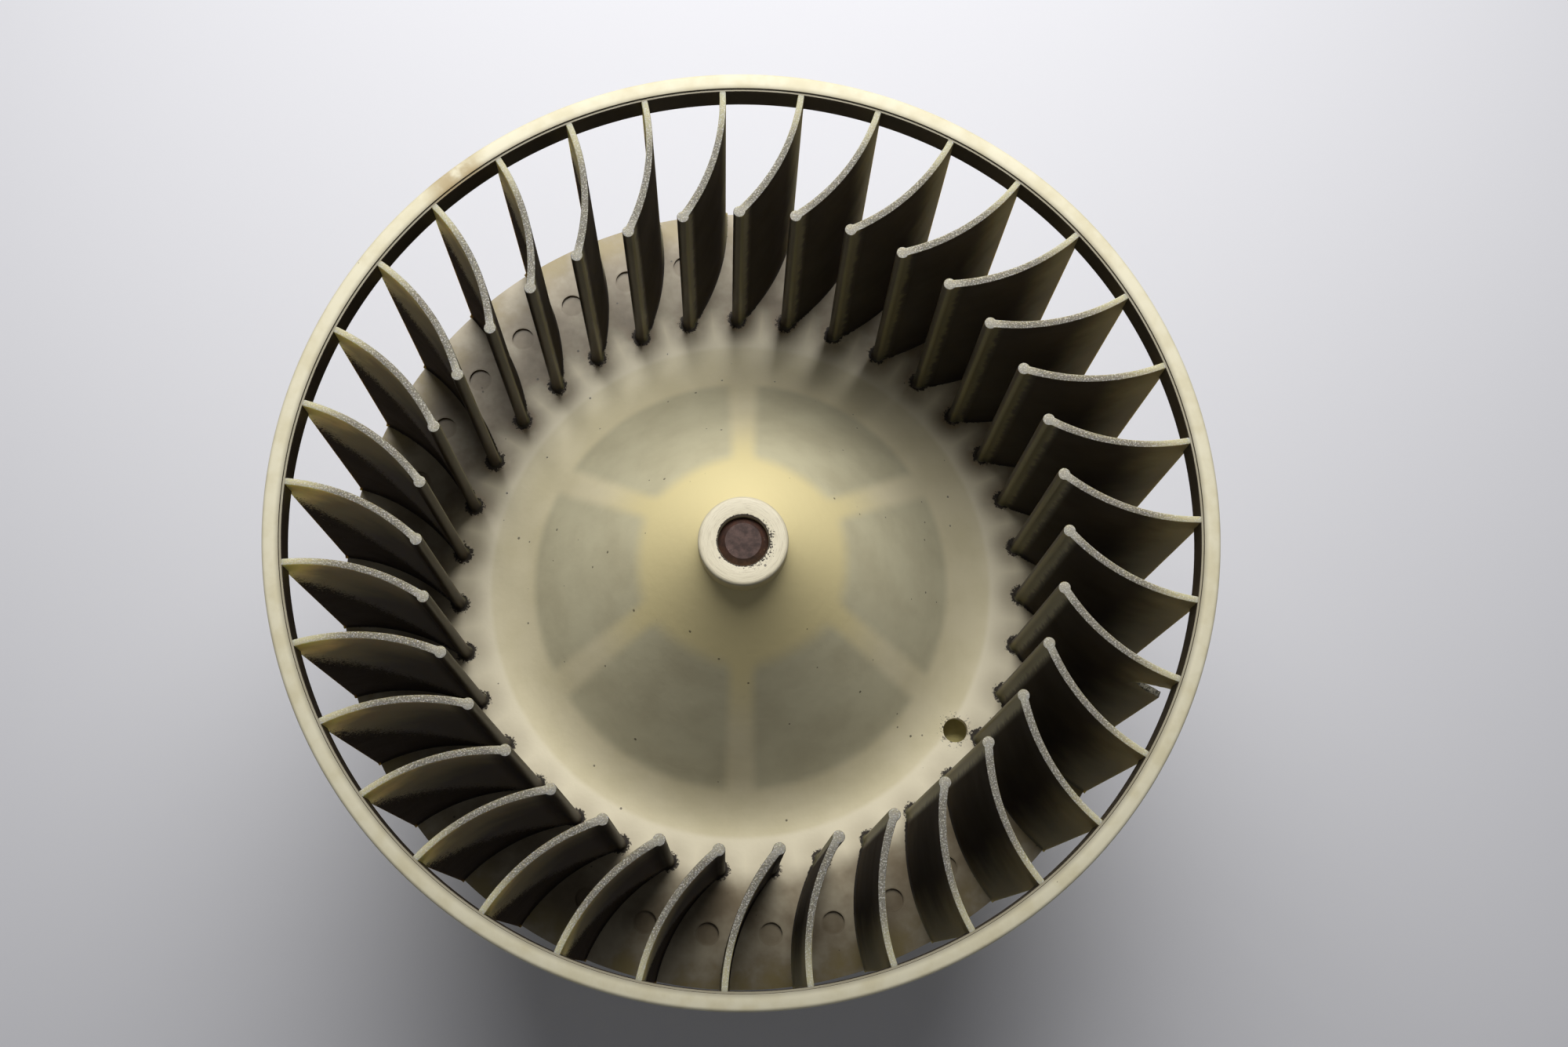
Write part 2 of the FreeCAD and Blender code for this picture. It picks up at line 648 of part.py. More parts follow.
def make_armature_winding():
    """End turns above and below the stack, one flat for each coil, joined by the sides that fill the slots."""
    body = make_body("armature_winding")
    lower_end = "Places.coil_bottom - Sizes.coil_end_length"
    make_end_turns(body, "lower_end_turns", lower_end)
    side_half = "(Sizes.slot_width / 2 - Sizes.coil_clearance)"
    outline = make_sketch(body, "coil_side_outline", "XY_Plane", ("z", lower_end))
    add_outline(outline, rectangle(
        "Sizes.slot_root_dia / 2 + Sizes.coil_clearance", f"-{side_half}",
        "Places.coil_r - Sizes.coil_clearance", side_half))
    side = pad(body, "coil_side", outline, f"Places.coil_top + Sizes.coil_clearance - ({lower_end})")
    polar_pattern(body, "coil_sides", [side], "Sizes.slot_count")
    make_end_turns(body, "upper_end_turns", "Places.coil_top")
    return body


def make_end_turns(body, name, bottom):
    outline = make_sketch(body, name + "_outline", "XY_Plane", ("z", bottom))
    add_outline(outline, polygon("Places.coil_r", "Sizes.slot_count"))
    add_circle(outline, "0", "0", "Sizes.coil_inner_dia / 2")
    pad(body, name, outline, "Sizes.coil_end_length")


def make_commutator():
    body = turned_piece("commutator", tube_corners(
        "Places.shaft_r", "Places.commutator_r", "Sizes.commutator_start", "Places.commutator_top"))
    outline = make_sketch(body, "commutator_slot_outline", "XY_Plane", ("z", "Places.commutator_top"))
    add_outline(outline, rectangle(
        "Places.commutator_r - Sizes.commutator_slot_depth", "-Sizes.commutator_slot_width / 2",
        "Places.commutator_r + Sizes.commutator_slot_depth", "Sizes.commutator_slot_width / 2"))
    slot = pocket(body, "commutator_slot", outline, "Sizes.commutator_length")
    polar_pattern(body, "commutator_slots", [slot], "Sizes.slot_count")
    return body


def place_opposite(body, second):
    """Turns the second of a pair half way round the shaft."""
    body.Placement = Placement(Vector(0, 0, 0), Rotation(Vector(0, 0, 1), 180 if second else 0))


def make_magnet(name, second):
    body = make_body(name)
    sketch = make_sketch(body, name + "_section", "XZ_Plane")
    add_outline(sketch, tube_corners(
        "Places.magnet_inner_r", "Places.magnet_outer_r",
        "Places.magnet_bottom", "Places.magnet_bottom + Sizes.magnet_length"))
    added = add_feature(body, "Revolution", name + "_arc", sketch, True)
    added[0].ReferenceAxis = (sketch, ["V_Axis"])
    added[0].setExpression("Angle", "Sizes.magnet_span")
    added[0].Midplane = True
    settle(body, added)
    place_opposite(body, second)
    return body


def make_brush_box(name, second):
    """A brass guide, open towards the commutator and closed behind the spring."""
    body = make_body(name)
    outer = make_sketch(body, name + "_outline", "XZ_Plane")
    add_outline(outer, rectangle(
        "Places.box_start", "Places.box_bottom", "Places.box_end", "Places.box_bottom + Places.box_height"))
    pad(body, name + "_block", outer, "Places.box_width", symmetric=True)
    inner = make_sketch(body, name + "_inside", "XZ_Plane")
    add_outline(inner, rectangle(
        "Places.box_start - Sizes.box_wall", "Places.box_bottom + Sizes.box_wall",
        "Places.box_end - Sizes.box_wall",
        "Places.box_bottom + Places.box_height - Sizes.box_wall"))
    pocket(body, name + "_hollow", inner, "Places.box_inner_width", symmetric=True)
    place_opposite(body, second)
    return body


def make_brush(name, second):
    body = make_body(name)
    outline = make_sketch(body, name + "_outline", "XZ_Plane")
    add_outline(outline, rectangle(
        "Places.brush_face", "Places.brush_level - Sizes.brush_height / 2",
        "Places.brush_back", "Places.brush_level + Sizes.brush_height / 2"))
    pad(body, name + "_block", outline, "Sizes.brush_width", symmetric=True)
    place_opposite(body, second)
    return body


def make_brush_spring(name, second):
    """A bowed leaf between the back of the brush and the back of its box."""
    body = make_body(name)
    outline = make_sketch(body, name + "_outline", "XZ_Plane")
    low, high = (f"Places.brush_level {sign} Places.spring_half" for sign in "-+")
    inner_low, inner_high = (f"Places.brush_level {sign} Places.spring_inner_half" for sign in "-+")
    add_outline(outline, [
        ("Places.spring_end", low, "Places.spring_curve", "left"),
        ("Places.spring_end", inner_low),
        ("Places.spring_start + Sizes.spring_leaf", "Places.brush_level",
         "Places.spring_curve - Sizes.spring_leaf", "right"),
        ("Places.spring_end", inner_high, "Places.spring_curve - Sizes.spring_leaf", "right"),
        ("Places.spring_end", high),
        ("Places.spring_start", "Places.brush_level", "Places.spring_curve", "left"),
    ])
    pad(body, name + "_leaf", outline, "Sizes.spring_width", symmetric=True)
    place_opposite(body, second)
    return body


def make_terminal(name, second):
    """A flat blade that lies on the cap's floor and leaves through the slot in its side."""
    body = make_body(name)
    outline = make_sketch(body, name + "_outline", "XY_Plane", ("z", "Sizes.cap_floor"))
    tip = "Sizes.terminal_width / 4"
    add_outline(outline, [
        ("-Sizes.terminal_width / 2", "Sizes.terminal_inner_radius"),
        ("Sizes.terminal_width / 2", "Sizes.terminal_inner_radius"),
        ("Sizes.terminal_width / 2", f"Places.terminal_end - {tip}"),
        (tip, "Places.terminal_end"),
        (f"-{tip}", "Places.terminal_end"),
        ("-Sizes.terminal_width / 2", f"Places.terminal_end - {tip}"),
    ])
    pad(body, name + "_blade", outline, "Sizes.terminal_thickness")
    place_opposite(body, second)
    return body


pieces = [
    make_blower_wheel(),
    make_motor_shaft(),
    make_armature_core(),
    make_armature_winding(),
    make_commutator(),
    make_motor_can(),
    make_mounting_flange(),
    make_end_cap(),
    make_bearing("front_bearing", "Places.front_bearing_start", "Places.front_bearing_top"),
    make_bearing("rear_bearing", "Places.rear_bearing_start", "Places.rear_bearing_top"),
    turned_piece("thrust_pad", [
        ("0", "Sizes.cap_floor"),
        ("Places.bearing_r - Sizes.thrust_pad_play", "Sizes.cap_floor"),
        ("Places.bearing_r - Sizes.thrust_pad_play", "Places.thrust_top"),
        ("0", "Places.thrust_top"),
    ]),
]
for side_name, is_second in (("right", False), ("left", True)):
    pieces.append(make_magnet("magnet_" + side_name, is_second))
    pieces.append(make_brush_box("brush_box_" + side_name, is_second))
    pieces.append(make_brush("brush_" + side_name, is_second))
    pieces.append(make_brush_spring("brush_spring_" + side_name, is_second))
    pieces.append(make_terminal("terminal_" + side_name, is_second))
doc.recompute()

for item in doc.Objects:
    if "Invalid" in item.State or "Error" in item.State:
        raise RuntimeError(f"{item.Name} failed to build")
for piece in pieces:
    if piece.Shape.isNull() or not piece.Shape.isValid():
        raise RuntimeError(f"{piece.Label} is not a sound solid")

os.makedirs("parts", exist_ok=True)
for piece in pieces:
    shape = moulding_in_zones(piece.Shape) if piece.Label == "blower_wheel" else piece.Shape
    shape.exportStep(f"parts/{piece.Label}.step")
    print(f"{piece.Label}: {len(shape.Solids)} solid, {shape.Volume / 1000:.2f} cm3")
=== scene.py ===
# %% [markdown]
# Heater blower fan: the looks of a used, one-piece moulded blower wheel on its small motor.
# The wheel is one shot of cream plastic, dark with soot, and the motor stands under its plate. The packed
# CAD part is the frame, and every piece here goes where the frame says. The wheel is built again with smooth
# beads, small foot fillets, pin marks and a ragged break, because those need many small faces that an
# engineering model has no use for. The motor keeps its CAD meshes and gets better materials.

# %% Load the frame
import math
import random

import bpy
from mathutils import Matrix, Vector


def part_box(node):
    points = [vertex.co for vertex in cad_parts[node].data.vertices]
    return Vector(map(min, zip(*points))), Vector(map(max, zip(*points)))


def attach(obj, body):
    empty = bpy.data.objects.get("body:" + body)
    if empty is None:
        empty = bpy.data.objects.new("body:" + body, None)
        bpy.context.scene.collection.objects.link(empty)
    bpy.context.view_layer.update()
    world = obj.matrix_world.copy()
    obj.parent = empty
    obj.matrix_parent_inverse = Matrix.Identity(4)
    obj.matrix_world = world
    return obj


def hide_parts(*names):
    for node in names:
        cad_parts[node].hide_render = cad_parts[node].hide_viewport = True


bpy.ops.wm.read_factory_settings(use_empty=True)
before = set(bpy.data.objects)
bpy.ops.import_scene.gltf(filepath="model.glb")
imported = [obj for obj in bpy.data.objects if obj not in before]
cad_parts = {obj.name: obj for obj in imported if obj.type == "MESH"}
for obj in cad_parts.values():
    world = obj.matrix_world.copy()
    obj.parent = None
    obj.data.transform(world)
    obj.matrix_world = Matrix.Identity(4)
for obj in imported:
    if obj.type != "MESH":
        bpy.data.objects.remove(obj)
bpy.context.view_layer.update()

# %% [markdown]
# Sizes are in millimetres and are turned to metres where a mesh is made. The wheel's lowest and highest
# levels come from the frame's box of the wheel, so the pieces here follow the CAD part. Most other levels
# are steps up or down from those two. What both a shape and a material need stands here; the rest is named
# beside the piece that it belongs to.

# %% Levels
MM = 0.001
PLATE_THICKNESS = 2.0
LAND_RISE = 0.35
wheel_low, wheel_high = (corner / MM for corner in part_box("blower_wheel"))
WHEEL_FLOOR = wheel_low.z
PLATE_TOP = WHEEL_FLOOR + PLATE_THICKNESS
LAND_TOP = wheel_high.z
BLADE_TOP = LAND_TOP - LAND_RISE
HUB_TOP = PLATE_TOP + 39.9
print("plate top", round(PLATE_TOP, 2), "mm, blade tops", round(BLADE_TOP, 2), "mm")

# %% Radii and angles
RING_INNER = 69.5
STEP_RADIUS = 43.9
CAVITY_RADIUS = 36.0
RIB_COUNT = 6
RIB_START = math.pi / 2
RIB_PITCH = math.tau / RIB_COUNT
BLADE_COUNT = 35
BLADE_START = math.radians(93.26)
PITCH = math.tau / BLADE_COUNT
PIN_PLACE_RADIUS = 60.3
PIN_RADIUS = 1.9
PIN_START = BLADE_START - 0.3 * PITCH
HOLE_PLACE_RADIUS = 45.15
HOLE_ANGLE = math.radians(-33.7)
print("one blade every", round(math.degrees(PITCH), 2), "degrees")

# %% [markdown]
# A blade's section is an arc that leaves the ring square and reaches its bead at a smaller radius, a few
# degrees further round. The bead's place fixes the arc: a circle through it that stands square on the ring
# has exactly one radius.

# %% Blade curve
TIP_RADIUS = 49.45
TIP_SWEEP = math.radians(8.34)
tip = Vector((TIP_RADIUS * math.cos(TIP_SWEEP), TIP_RADIUS * math.sin(TIP_SWEEP)))
BLADE_CURVE = ((RING_INNER - tip.x) ** 2 + tip.y ** 2) / (2 * tip.y)
print("blade curve", round(BLADE_CURVE, 2), "mm")

# %% [markdown]
# Three helpers make nearly every mesh here: a mesh from points, a section turned about the shaft's axis, and
# an outline stacked at several levels. A turned shape could come from the Screw modifier and a stacked one
# from Extrude, but plain points and faces keep every edge where it is wanted and give closed shells. Shading
# is smooth, with edges kept sharp where two faces meet at more than a given angle.


# %% Mesh helpers
def make_object(name, points, faces, smooth_angle=35):
    """A mesh object from points in millimetres, with its place in its mesh."""
    mesh = bpy.data.meshes.new(name)
    mesh.from_pydata([Vector(point) * MM for point in points], [], faces)
    mesh.validate()
    mesh.shade_smooth()
    mesh.set_sharp_from_angle(angle=math.radians(smooth_angle))
    made = bpy.data.objects.new(name, mesh)
    bpy.context.scene.collection.objects.link(made)
    return made


def arc(centre, radius, first, last, count):
    """Points on an arc in a half-section, angles in degrees."""
    angles = [math.radians(first + (last - first) * step / count) for step in range(count + 1)]
    return [(centre[0] + radius * math.cos(a), centre[1] + radius * math.sin(a)) for a in angles]


def turned(name, section, steps=280):
    """Turns a closed half-section, given anticlockwise as seen from -Y, about the shaft's axis."""
    points = []
    for step in range(steps):
        angle = math.tau * step / steps
        points += [(r * math.cos(angle), r * math.sin(angle), z) for r, z in section]
    count = len(section)
    faces = []
    for step in range(steps):
        this, following = step * count, (step + 1) % steps * count
        for index in range(count):
            beyond = (index + 1) % count
            faces.append((this + index, following + index, following + beyond, this + beyond))
    return make_object(name, points, faces)


def prism(name, outline, levels, smooth_angle=35):
    """Stacks an outline of points and outward normals, given anticlockwise. A level is a height and an
    offset along the normals."""
    count = len(outline)
    points = []
    for height, offset in levels:
        points += [(*(point + normal * offset), height) for point, normal in outline]
    faces = [tuple(reversed(range(count)))]
    for level in range(len(levels) - 1):
        low, high = level * count, (level + 1) * count
        for index in range(count):
            beyond = (index + 1) % count
            faces.append((low + index, low + beyond, high + beyond, high + index))
    faces.append(tuple(range(len(points) - count, len(points))))
    return make_object(name, points, faces, smooth_angle)


def directions(angle):
    """The way outwards and the way around, at an angle about the shaft."""
    outward = Vector((math.cos(angle), math.sin(angle), 0))
    around = Vector((-math.sin(angle), math.cos(angle), 0))
    return outward, around


# %% [markdown]
# A cut is a Boolean that is applied at once. The exact solver is slower than the fast one, but it keeps
# closed shells closed. With the material mode on transfer, the faces of a cut keep the cutter's own
# material, which is how the broken blade gets its grainy face.


# %% Cut
def apply_modifiers(target):
    graph = bpy.context.evaluated_depsgraph_get()
    mesh = bpy.data.meshes.new_from_object(target.evaluated_get(graph))
    target.modifiers.clear()
    target.data = mesh


def cut(target, cutter):
    """Cuts a closed mesh out of another and removes the cutter."""
    modifier = target.modifiers.new("cut", "BOOLEAN")
    modifier.operation = "DIFFERENCE"
    modifier.solver = "EXACT"
    modifier.object = cutter
    modifier.material_mode = "TRANSFER"
    apply_modifiers(target)
    bpy.data.objects.remove(cutter)


# %% [markdown]
# Shader helpers. A material is a tree of small steps, and written out it grows long, so each step here is
# one call that adds a node, links or sets its inputs and returns its output. A value may be a number or
# another step's output. Colours are written as they look on a screen and turned to the linear values that
# shaders take.


# %% Shader helpers
def linear(red, green, blue):
    """A colour seen on screen, from 0 to 255, as the linear colour that a shader takes."""
    def channel(value):
        share = value / 255
        return share / 12.92 if share <= 0.04045 else ((share + 0.055) / 1.055) ** 2.4
    return (channel(red), channel(green), channel(blue), 1.0)


def add(tree, kind, inputs=None, **settings):
    node = tree.nodes.new(kind)
    for name, value in settings.items():
        setattr(node, name, value)
    for key, value in (inputs or {}).items():
        if isinstance(value, bpy.types.NodeSocket):
            tree.links.new(value, node.inputs[key])
        else:
            node.inputs[key].default_value = value
    return node


def calculate(tree, operation, *values):
    return add(tree, "ShaderNodeMath", dict(enumerate(values)), operation=operation).outputs[0]


def times(tree, first, second):
    return calculate(tree, "MULTIPLY", first, second)


def ramp(tree, value, low, high, start=0.0, end=1.0):
    """A smooth step of a value from start, at low, to end, at high."""
    return add(tree, "ShaderNodeMapRange", {
        "Value": value, "From Min": low, "From Max": high, "To Min": start, "To Max": end,
    }, interpolation_type="SMOOTHSTEP").outputs["Result"]


def blend(tree, share, first, second):
    """The first colour at share 0 and the second at share 1."""
    return add(tree, "ShaderNodeMix", {0: share, 6: first, 7: second}, data_type="RGBA").outputs[2]


def noise(tree, place, scale, detail=3.0, rough=0.55):
    return add(tree, "ShaderNodeTexNoise", {
        "Vector": place, "Scale": scale, "Detail": detail, "Roughness": rough}).outputs["Fac"]


def swing(tree, value, reach):
    """Noise from 0 to 1, moved to stand about zero and widened to a reach."""
    return times(tree, calculate(tree, "SUBTRACT", value, 0.5), reach)


def distance_to(tree, position, point):
    return add(tree, "ShaderNodeVectorMath", {0: position, 1: point}, operation="DISTANCE").outputs["Value"]


def off_nearest(tree, turns):
    """A count of pitches, less the nearest whole one: how far off the nearest repeat a point stands."""
    return calculate(tree, "SUBTRACT", turns, calculate(tree, "ROUND", turns))


def distance_to_row(tree, place, start, row_radius):
    """How far a point stands, as seen from above, from the nearest of 35 points that stand in a ring."""
    off = off_nearest(tree, calculate(
        tree, "DIVIDE", calculate(tree, "SUBTRACT", place["Angle"], start), PITCH))
    along = times(tree, off, PITCH * row_radius)
    across = calculate(tree, "SUBTRACT", place["Radius"], row_radius)
    return calculate(tree, "SQRT", calculate(tree, "ADD", calculate(tree, "POWER", along, 2.0),
                                             calculate(tree, "POWER", across, 2.0)))


# %% [markdown]
# An effect that several materials share is a shader group, built once. These helpers start a group with its
# named sockets and place it in a tree.


# %% Group helpers
def start_group(name, inputs, outputs):
    tree = bpy.data.node_groups.new(name, "ShaderNodeTree")
    for label, kind, value in inputs:
        socket = tree.interface.new_socket(label, in_out="INPUT", socket_type="NodeSocket" + kind)
        if value is not None:
            socket.default_value = value
    for label, kind in outputs:
        tree.interface.new_socket(label, in_out="OUTPUT", socket_type="NodeSocket" + kind)
    return tree, tree.nodes.new("NodeGroupInput"), tree.nodes.new("NodeGroupOutput")


def use_group(tree, group, inputs=None):
    return add(tree, "ShaderNodeGroup", inputs, node_tree=group)


# %% [markdown]
# Dirt on a fan follows its shape: it lies at the blades' feet, down their faces and inside the ring.
# So each material first asks where a point stands on the wheel. One group answers: its radius, angle and
# height, how far it is from the nearest blade's curve, and which way its surface looks. The blade's arc is
# near a parabola at this length, which is far cheaper in nodes; a fit factor takes up the difference.

# %% Group: where a point stands on the wheel
ARC_FIT = 0.97


def dot_product(tree, first, second):
    node = add(tree, "ShaderNodeVectorMath", {0: first, 1: second}, operation="DOT_PRODUCT")
    return node.outputs["Value"]


def distance_from_blade(tree, radius, angle):
    """How far round the shaft a point stands from the middle of the nearest blade."""
    reach = calculate(tree, "SUBTRACT", RING_INNER, radius)
    bend = calculate(tree, "DIVIDE", times(tree, reach, reach), 2 * BLADE_CURVE * ARC_FIT)
    bend_angle = calculate(tree, "DIVIDE", bend, radius)
    turned_by = calculate(tree, "SUBTRACT", calculate(tree, "SUBTRACT", angle, BLADE_START), bend_angle)
    nearest = off_nearest(tree, calculate(tree, "DIVIDE", turned_by, PITCH))
    return times(tree, times(tree, nearest, PITCH), radius)


def make_place_group():
    tree, _, out = start_group("wheel place", [], [
        ("Radius", "Float"), ("Angle", "Float"), ("Height", "Float"), ("From Blade", "Float"),
        ("Side", "Float"), ("Outward", "Float"), ("Up", "Float"), ("Position", "Vector")])
    coordinates = add(tree, "ShaderNodeTexCoord")
    normal = coordinates.outputs["Normal"]
    place = add(tree, "ShaderNodeVectorMath", {0: coordinates.outputs["Object"], "Scale": 1 / MM},
                operation="SCALE").outputs[0]
    x, y, z = add(tree, "ShaderNodeSeparateXYZ", {0: place}).outputs
    flat = add(tree, "ShaderNodeCombineXYZ", {0: x, 1: y}).outputs[0]
    radius = add(tree, "ShaderNodeVectorMath", {0: flat}, operation="LENGTH").outputs["Value"]
    angle = calculate(tree, "ARCTAN2", y, x)
    outward = add(tree, "ShaderNodeVectorMath", {0: flat}, operation="NORMALIZE").outputs[0]
    around = add(tree, "ShaderNodeVectorMath", {0: (0, 0, 1), 1: outward},
                 operation="CROSS_PRODUCT").outputs[0]
    answers = {
        "Radius": radius, "Angle": angle, "Height": z, "Position": place,
        "From Blade": distance_from_blade(tree, radius, angle),
        "Side": dot_product(tree, normal, around), "Outward": dot_product(tree, normal, outward),
        "Up": add(tree, "ShaderNodeSeparateXYZ", {0: normal}).outputs[2]}
    for name, value in answers.items():
        tree.links.new(value, out.inputs[name])
    return tree


place_group = make_place_group()
print("place group answers:", [item.name for item in place_group.interface.items_tree])

# %% [markdown]
# Soot settles as a solid film that breaks into dots at its border. A mask with fine noise added and then
# cut by a short ramp does the same: where the mask is strong the noise can't open it, and near the border it
# leaves grains. Stipple says how wide that grainy border is.


# %% Group: soot that breaks up into stipple at its border
def make_soot_group():
    tree, inside, out = start_group(
        "soot", [("Colour", "Color", None), ("Amount", "Float", 0.0), ("Position", "Vector", None),
                 ("Stipple", "Float", 0.35), ("Dark", "Color", linear(32, 26, 20)),
                 ("Pale", "Color", linear(56, 46, 35))],
        [("Colour", "Color"), ("Mask", "Float")])
    given = inside.outputs
    fine = noise(tree, given["Position"], 2.6, 4.0, 0.7)
    broad = noise(tree, given["Position"], 0.22, 3.0)
    grain = swing(tree, fine, times(tree, given["Stipple"], 3.0))
    total = calculate(tree, "ADD", given["Amount"], calculate(tree, "ADD", grain, swing(tree, broad, 0.5)))
    edge = times(tree, ramp(tree, total, 0.38, 0.58), ramp(tree, given["Amount"], 0.02, 0.12))
    black = blend(tree, broad, given["Dark"], given["Pale"])
    tree.links.new(blend(tree, edge, given["Colour"], black), out.inputs["Colour"])
    tree.links.new(edge, out.inputs["Mask"])
    return tree


soot_group = make_soot_group()
print("soot group nodes:", len(soot_group.nodes))

# %% [markdown]
# Sparse specks of dirt. Each cell of a Voronoi pattern has one centre, and only the cells whose random
# colour falls under a share get a dot. The same random value sets the dot's size, so no two look alike.


# %% Group: sparse specks
def make_speck_group():
    tree, inside, out = start_group(
        "specks", [("Position", "Vector", None), ("Scale", "Float", 1.0), ("Size", "Float", 0.2),
                   ("Share", "Float", 0.3)], [("Mask", "Float")])
    given = inside.outputs
    cells = add(tree, "ShaderNodeTexVoronoi", {"Vector": given["Position"], "Scale": given["Scale"]})
    chosen = add(tree, "ShaderNodeSeparateColor", {0: cells.outputs["Color"]}).outputs[0]
    picked = calculate(tree, "LESS_THAN", chosen, given["Share"])
    reach = times(tree, chosen, calculate(tree, "DIVIDE", given["Size"], given["Share"]))
    dot = calculate(tree, "LESS_THAN", cells.outputs["Distance"], reach)
    tree.links.new(times(tree, picked, dot), out.inputs["Mask"])
    return tree


speck_group = make_speck_group()
print("speck group nodes:", len(speck_group.nodes))

# %% [markdown]
# A material starts from the plain Principled shader. What is the same all over the surface, such as its
# metallic share, is set on the shader's own socket; only what changes over it is linked.


# %% Material helpers
def start_material(name, roughness=0.45, metallic=0.0):
    material = bpy.data.materials.new(name)
    material.use_nodes = True
    tree = material.node_tree
    shader = tree.nodes["Principled BSDF"]
    shader.inputs["Roughness"].default_value = roughness
    shader.inputs["Metallic"].default_value = metallic
    return material, tree, shader


def add_bump(tree, shader, height, strength):
    bump = add(tree, "ShaderNodeBump", {"Height": height, "Strength": strength, "Distance": 0.2 * MM})
    tree.links.new(bump.outputs[0], shader.inputs["Normal"])


def add_specks(tree, position, shown, colour, strength, scale, size, share):
    mask = use_group(tree, speck_group, {
        "Position": position, "Scale": scale, "Size": size, "Share": share}).outputs[0]
    return blend(tree, times(tree, mask, strength), shown, colour)


# %% Colours of the aged plastic and its dirt
CREAM = linear(234, 224, 190)
AGED_CREAM = linear(226, 216, 180)
PALE_CREAM = linear(246, 237, 210)
WARM_CREAM = linear(230, 216, 164)
HUB_CREAM = linear(218, 210, 184)
HOLLOW_GREY = linear(208, 202, 171)
DEEP_HOLLOW_GREY = linear(194, 187, 157)
SCRATCH_GREY = linear(168, 156, 130)
PIN_SHADE_BROWN = linear(112, 98, 66)
SMEAR_AND_SHADOW_BROWN = linear(96, 72, 38)
GREASE_AND_SHADE_BROWN = linear(96, 78, 50)
RIM_OLIVE = linear(150, 134, 78)
BEAD_SHEEN_OLIVE = linear(132, 126, 94)

# %% [markdown]
# Behind the thin dome stand a solid core, six ribs and six dark hollows. A little light comes through the
# cream wall, so the core and ribs show as warm, pale bands and the hollows as grey windows. Real light
# through plastic is slow to render and is lost in an exported model, so the bands are painted, by how far a
# point stands from the nearest rib. The windows' inner corners lie between a circle and a hexagon.


# %% What shines through the dome
def window_mask(tree, place):
    """1 where a hollow stands behind the dome, and 0 over the ribs, the core and the rim."""
    radius = place["Radius"]
    off_rib = off_nearest(tree, calculate(
        tree, "DIVIDE", calculate(tree, "SUBTRACT", place["Angle"], RIB_START), RIB_PITCH))
    turn = times(tree, off_rib, RIB_PITCH)
    rib_distance = calculate(tree, "ABSOLUTE", times(tree, calculate(tree, "SINE", turn), radius))
    rib_width = ramp(tree, radius, 17.0, CAVITY_RADIUS, 1.7, 2.3)
    beside_rib = ramp(tree, calculate(tree, "SUBTRACT", rib_distance, rib_width), -1.1, 1.4)
    from_flat = calculate(tree, "SUBTRACT", calculate(tree, "ABSOLUTE", turn), RIB_PITCH / 2)
    hexagon = times(tree, radius, calculate(tree, "COSINE", from_flat))
    rounded = calculate(tree, "ADD", times(tree, hexagon, 0.35), times(tree, radius, 0.65))
    inner = ramp(tree, rounded, 15.5, 18.8)
    outer = ramp(tree, radius, CAVITY_RADIUS - 1.0, CAVITY_RADIUS + 0.9, 1.0, 0.0)
    return times(tree, times(tree, inner, outer), beside_rib)


def dome_colour_with_painted_glow(tree, place, mottle):
    """The plastic before its dirt: cream, paler outside the step, with painted light through the wall that
    makes it warmer over the core and grey over the hollows.
    """
    radius = place["Radius"]
    plain = blend(tree, ramp(tree, mottle, 0.35, 0.7), CREAM, AGED_CREAM)
    outside = times(tree, ramp(tree, radius, STEP_RADIUS - 0.5, STEP_RADIUS + 0.6), 0.8)
    plate = blend(tree, outside, plain, PALE_CREAM)
    solid = blend(tree, ramp(tree, radius, 17.0, 30.0, 1.0, 0.0), plate, WARM_CREAM)
    hollow = blend(tree, ramp(tree, mottle, 0.3, 0.75), HOLLOW_GREY, DEEP_HOLLOW_GREY)
    return blend(tree, times(tree, window_mask(tree, place), 0.95), solid, hollow)


# %% [markdown]
# The hub's top is worn: fine rings are scratched into it, and dirt has rubbed off round one side of the
# bore. Noise read in polar coordinates gives the rings, because it changes fast across the circle and slowly
# along it. The same noise is used again as bump.


# %% Wear on the hub
def hub_scratches(tree, place):
    polar = add(tree, "ShaderNodeCombineXYZ", {
        0: times(tree, place["Radius"], 7.0), 1: times(tree, place["Angle"], 2.5)}).outputs[0]
    return noise(tree, polar, 1.0, 3.0, 0.7)


def bore_dirt(tree, place, hub):
    radius = place["Radius"]
    lopsided = ramp(tree, calculate(
        tree, "COSINE", calculate(tree, "ADD", place["Angle"], 0.4)), -0.4, 0.9)
    rubbed = times(tree, ramp(tree, radius, 4.2, 6.0, 0.5, 0.0), lopsided)
    edge = ramp(tree, radius, 4.1, 4.5, 0.9, 0.0)
    return times(tree, calculate(tree, "MAXIMUM", edge, rubbed), hub)


# %% [markdown]
# The plate's dirt and painted shade. Soot packs hard round each bead and along each blade's foot. Brown
# smears run in from the feet and are heavier on one side of the wheel; they are part grease and part painted
# shadow of the blades. Between the blades lies a brown film, part grease and part painted shade, which turns
# olive at the rim. The 35 pin marks are shallow discs with a painted dark line round the rim and painted
# shade inside.


# %% Dirt and painted shade on the plate
def foot_soot(tree, place, from_tip):
    at_tip = ramp(tree, from_tip, 0.9, 2.5, 0.95, 0.0)
    on_curve = ramp(tree, calculate(tree, "ABSOLUTE", place["From Blade"]), 0.5, 1.1, 0.8, 0.0)
    at_foot = times(tree, on_curve, ramp(tree, place["Radius"], TIP_RADIUS, TIP_RADIUS + 1.0))
    return calculate(tree, "MAXIMUM", at_tip, at_foot)


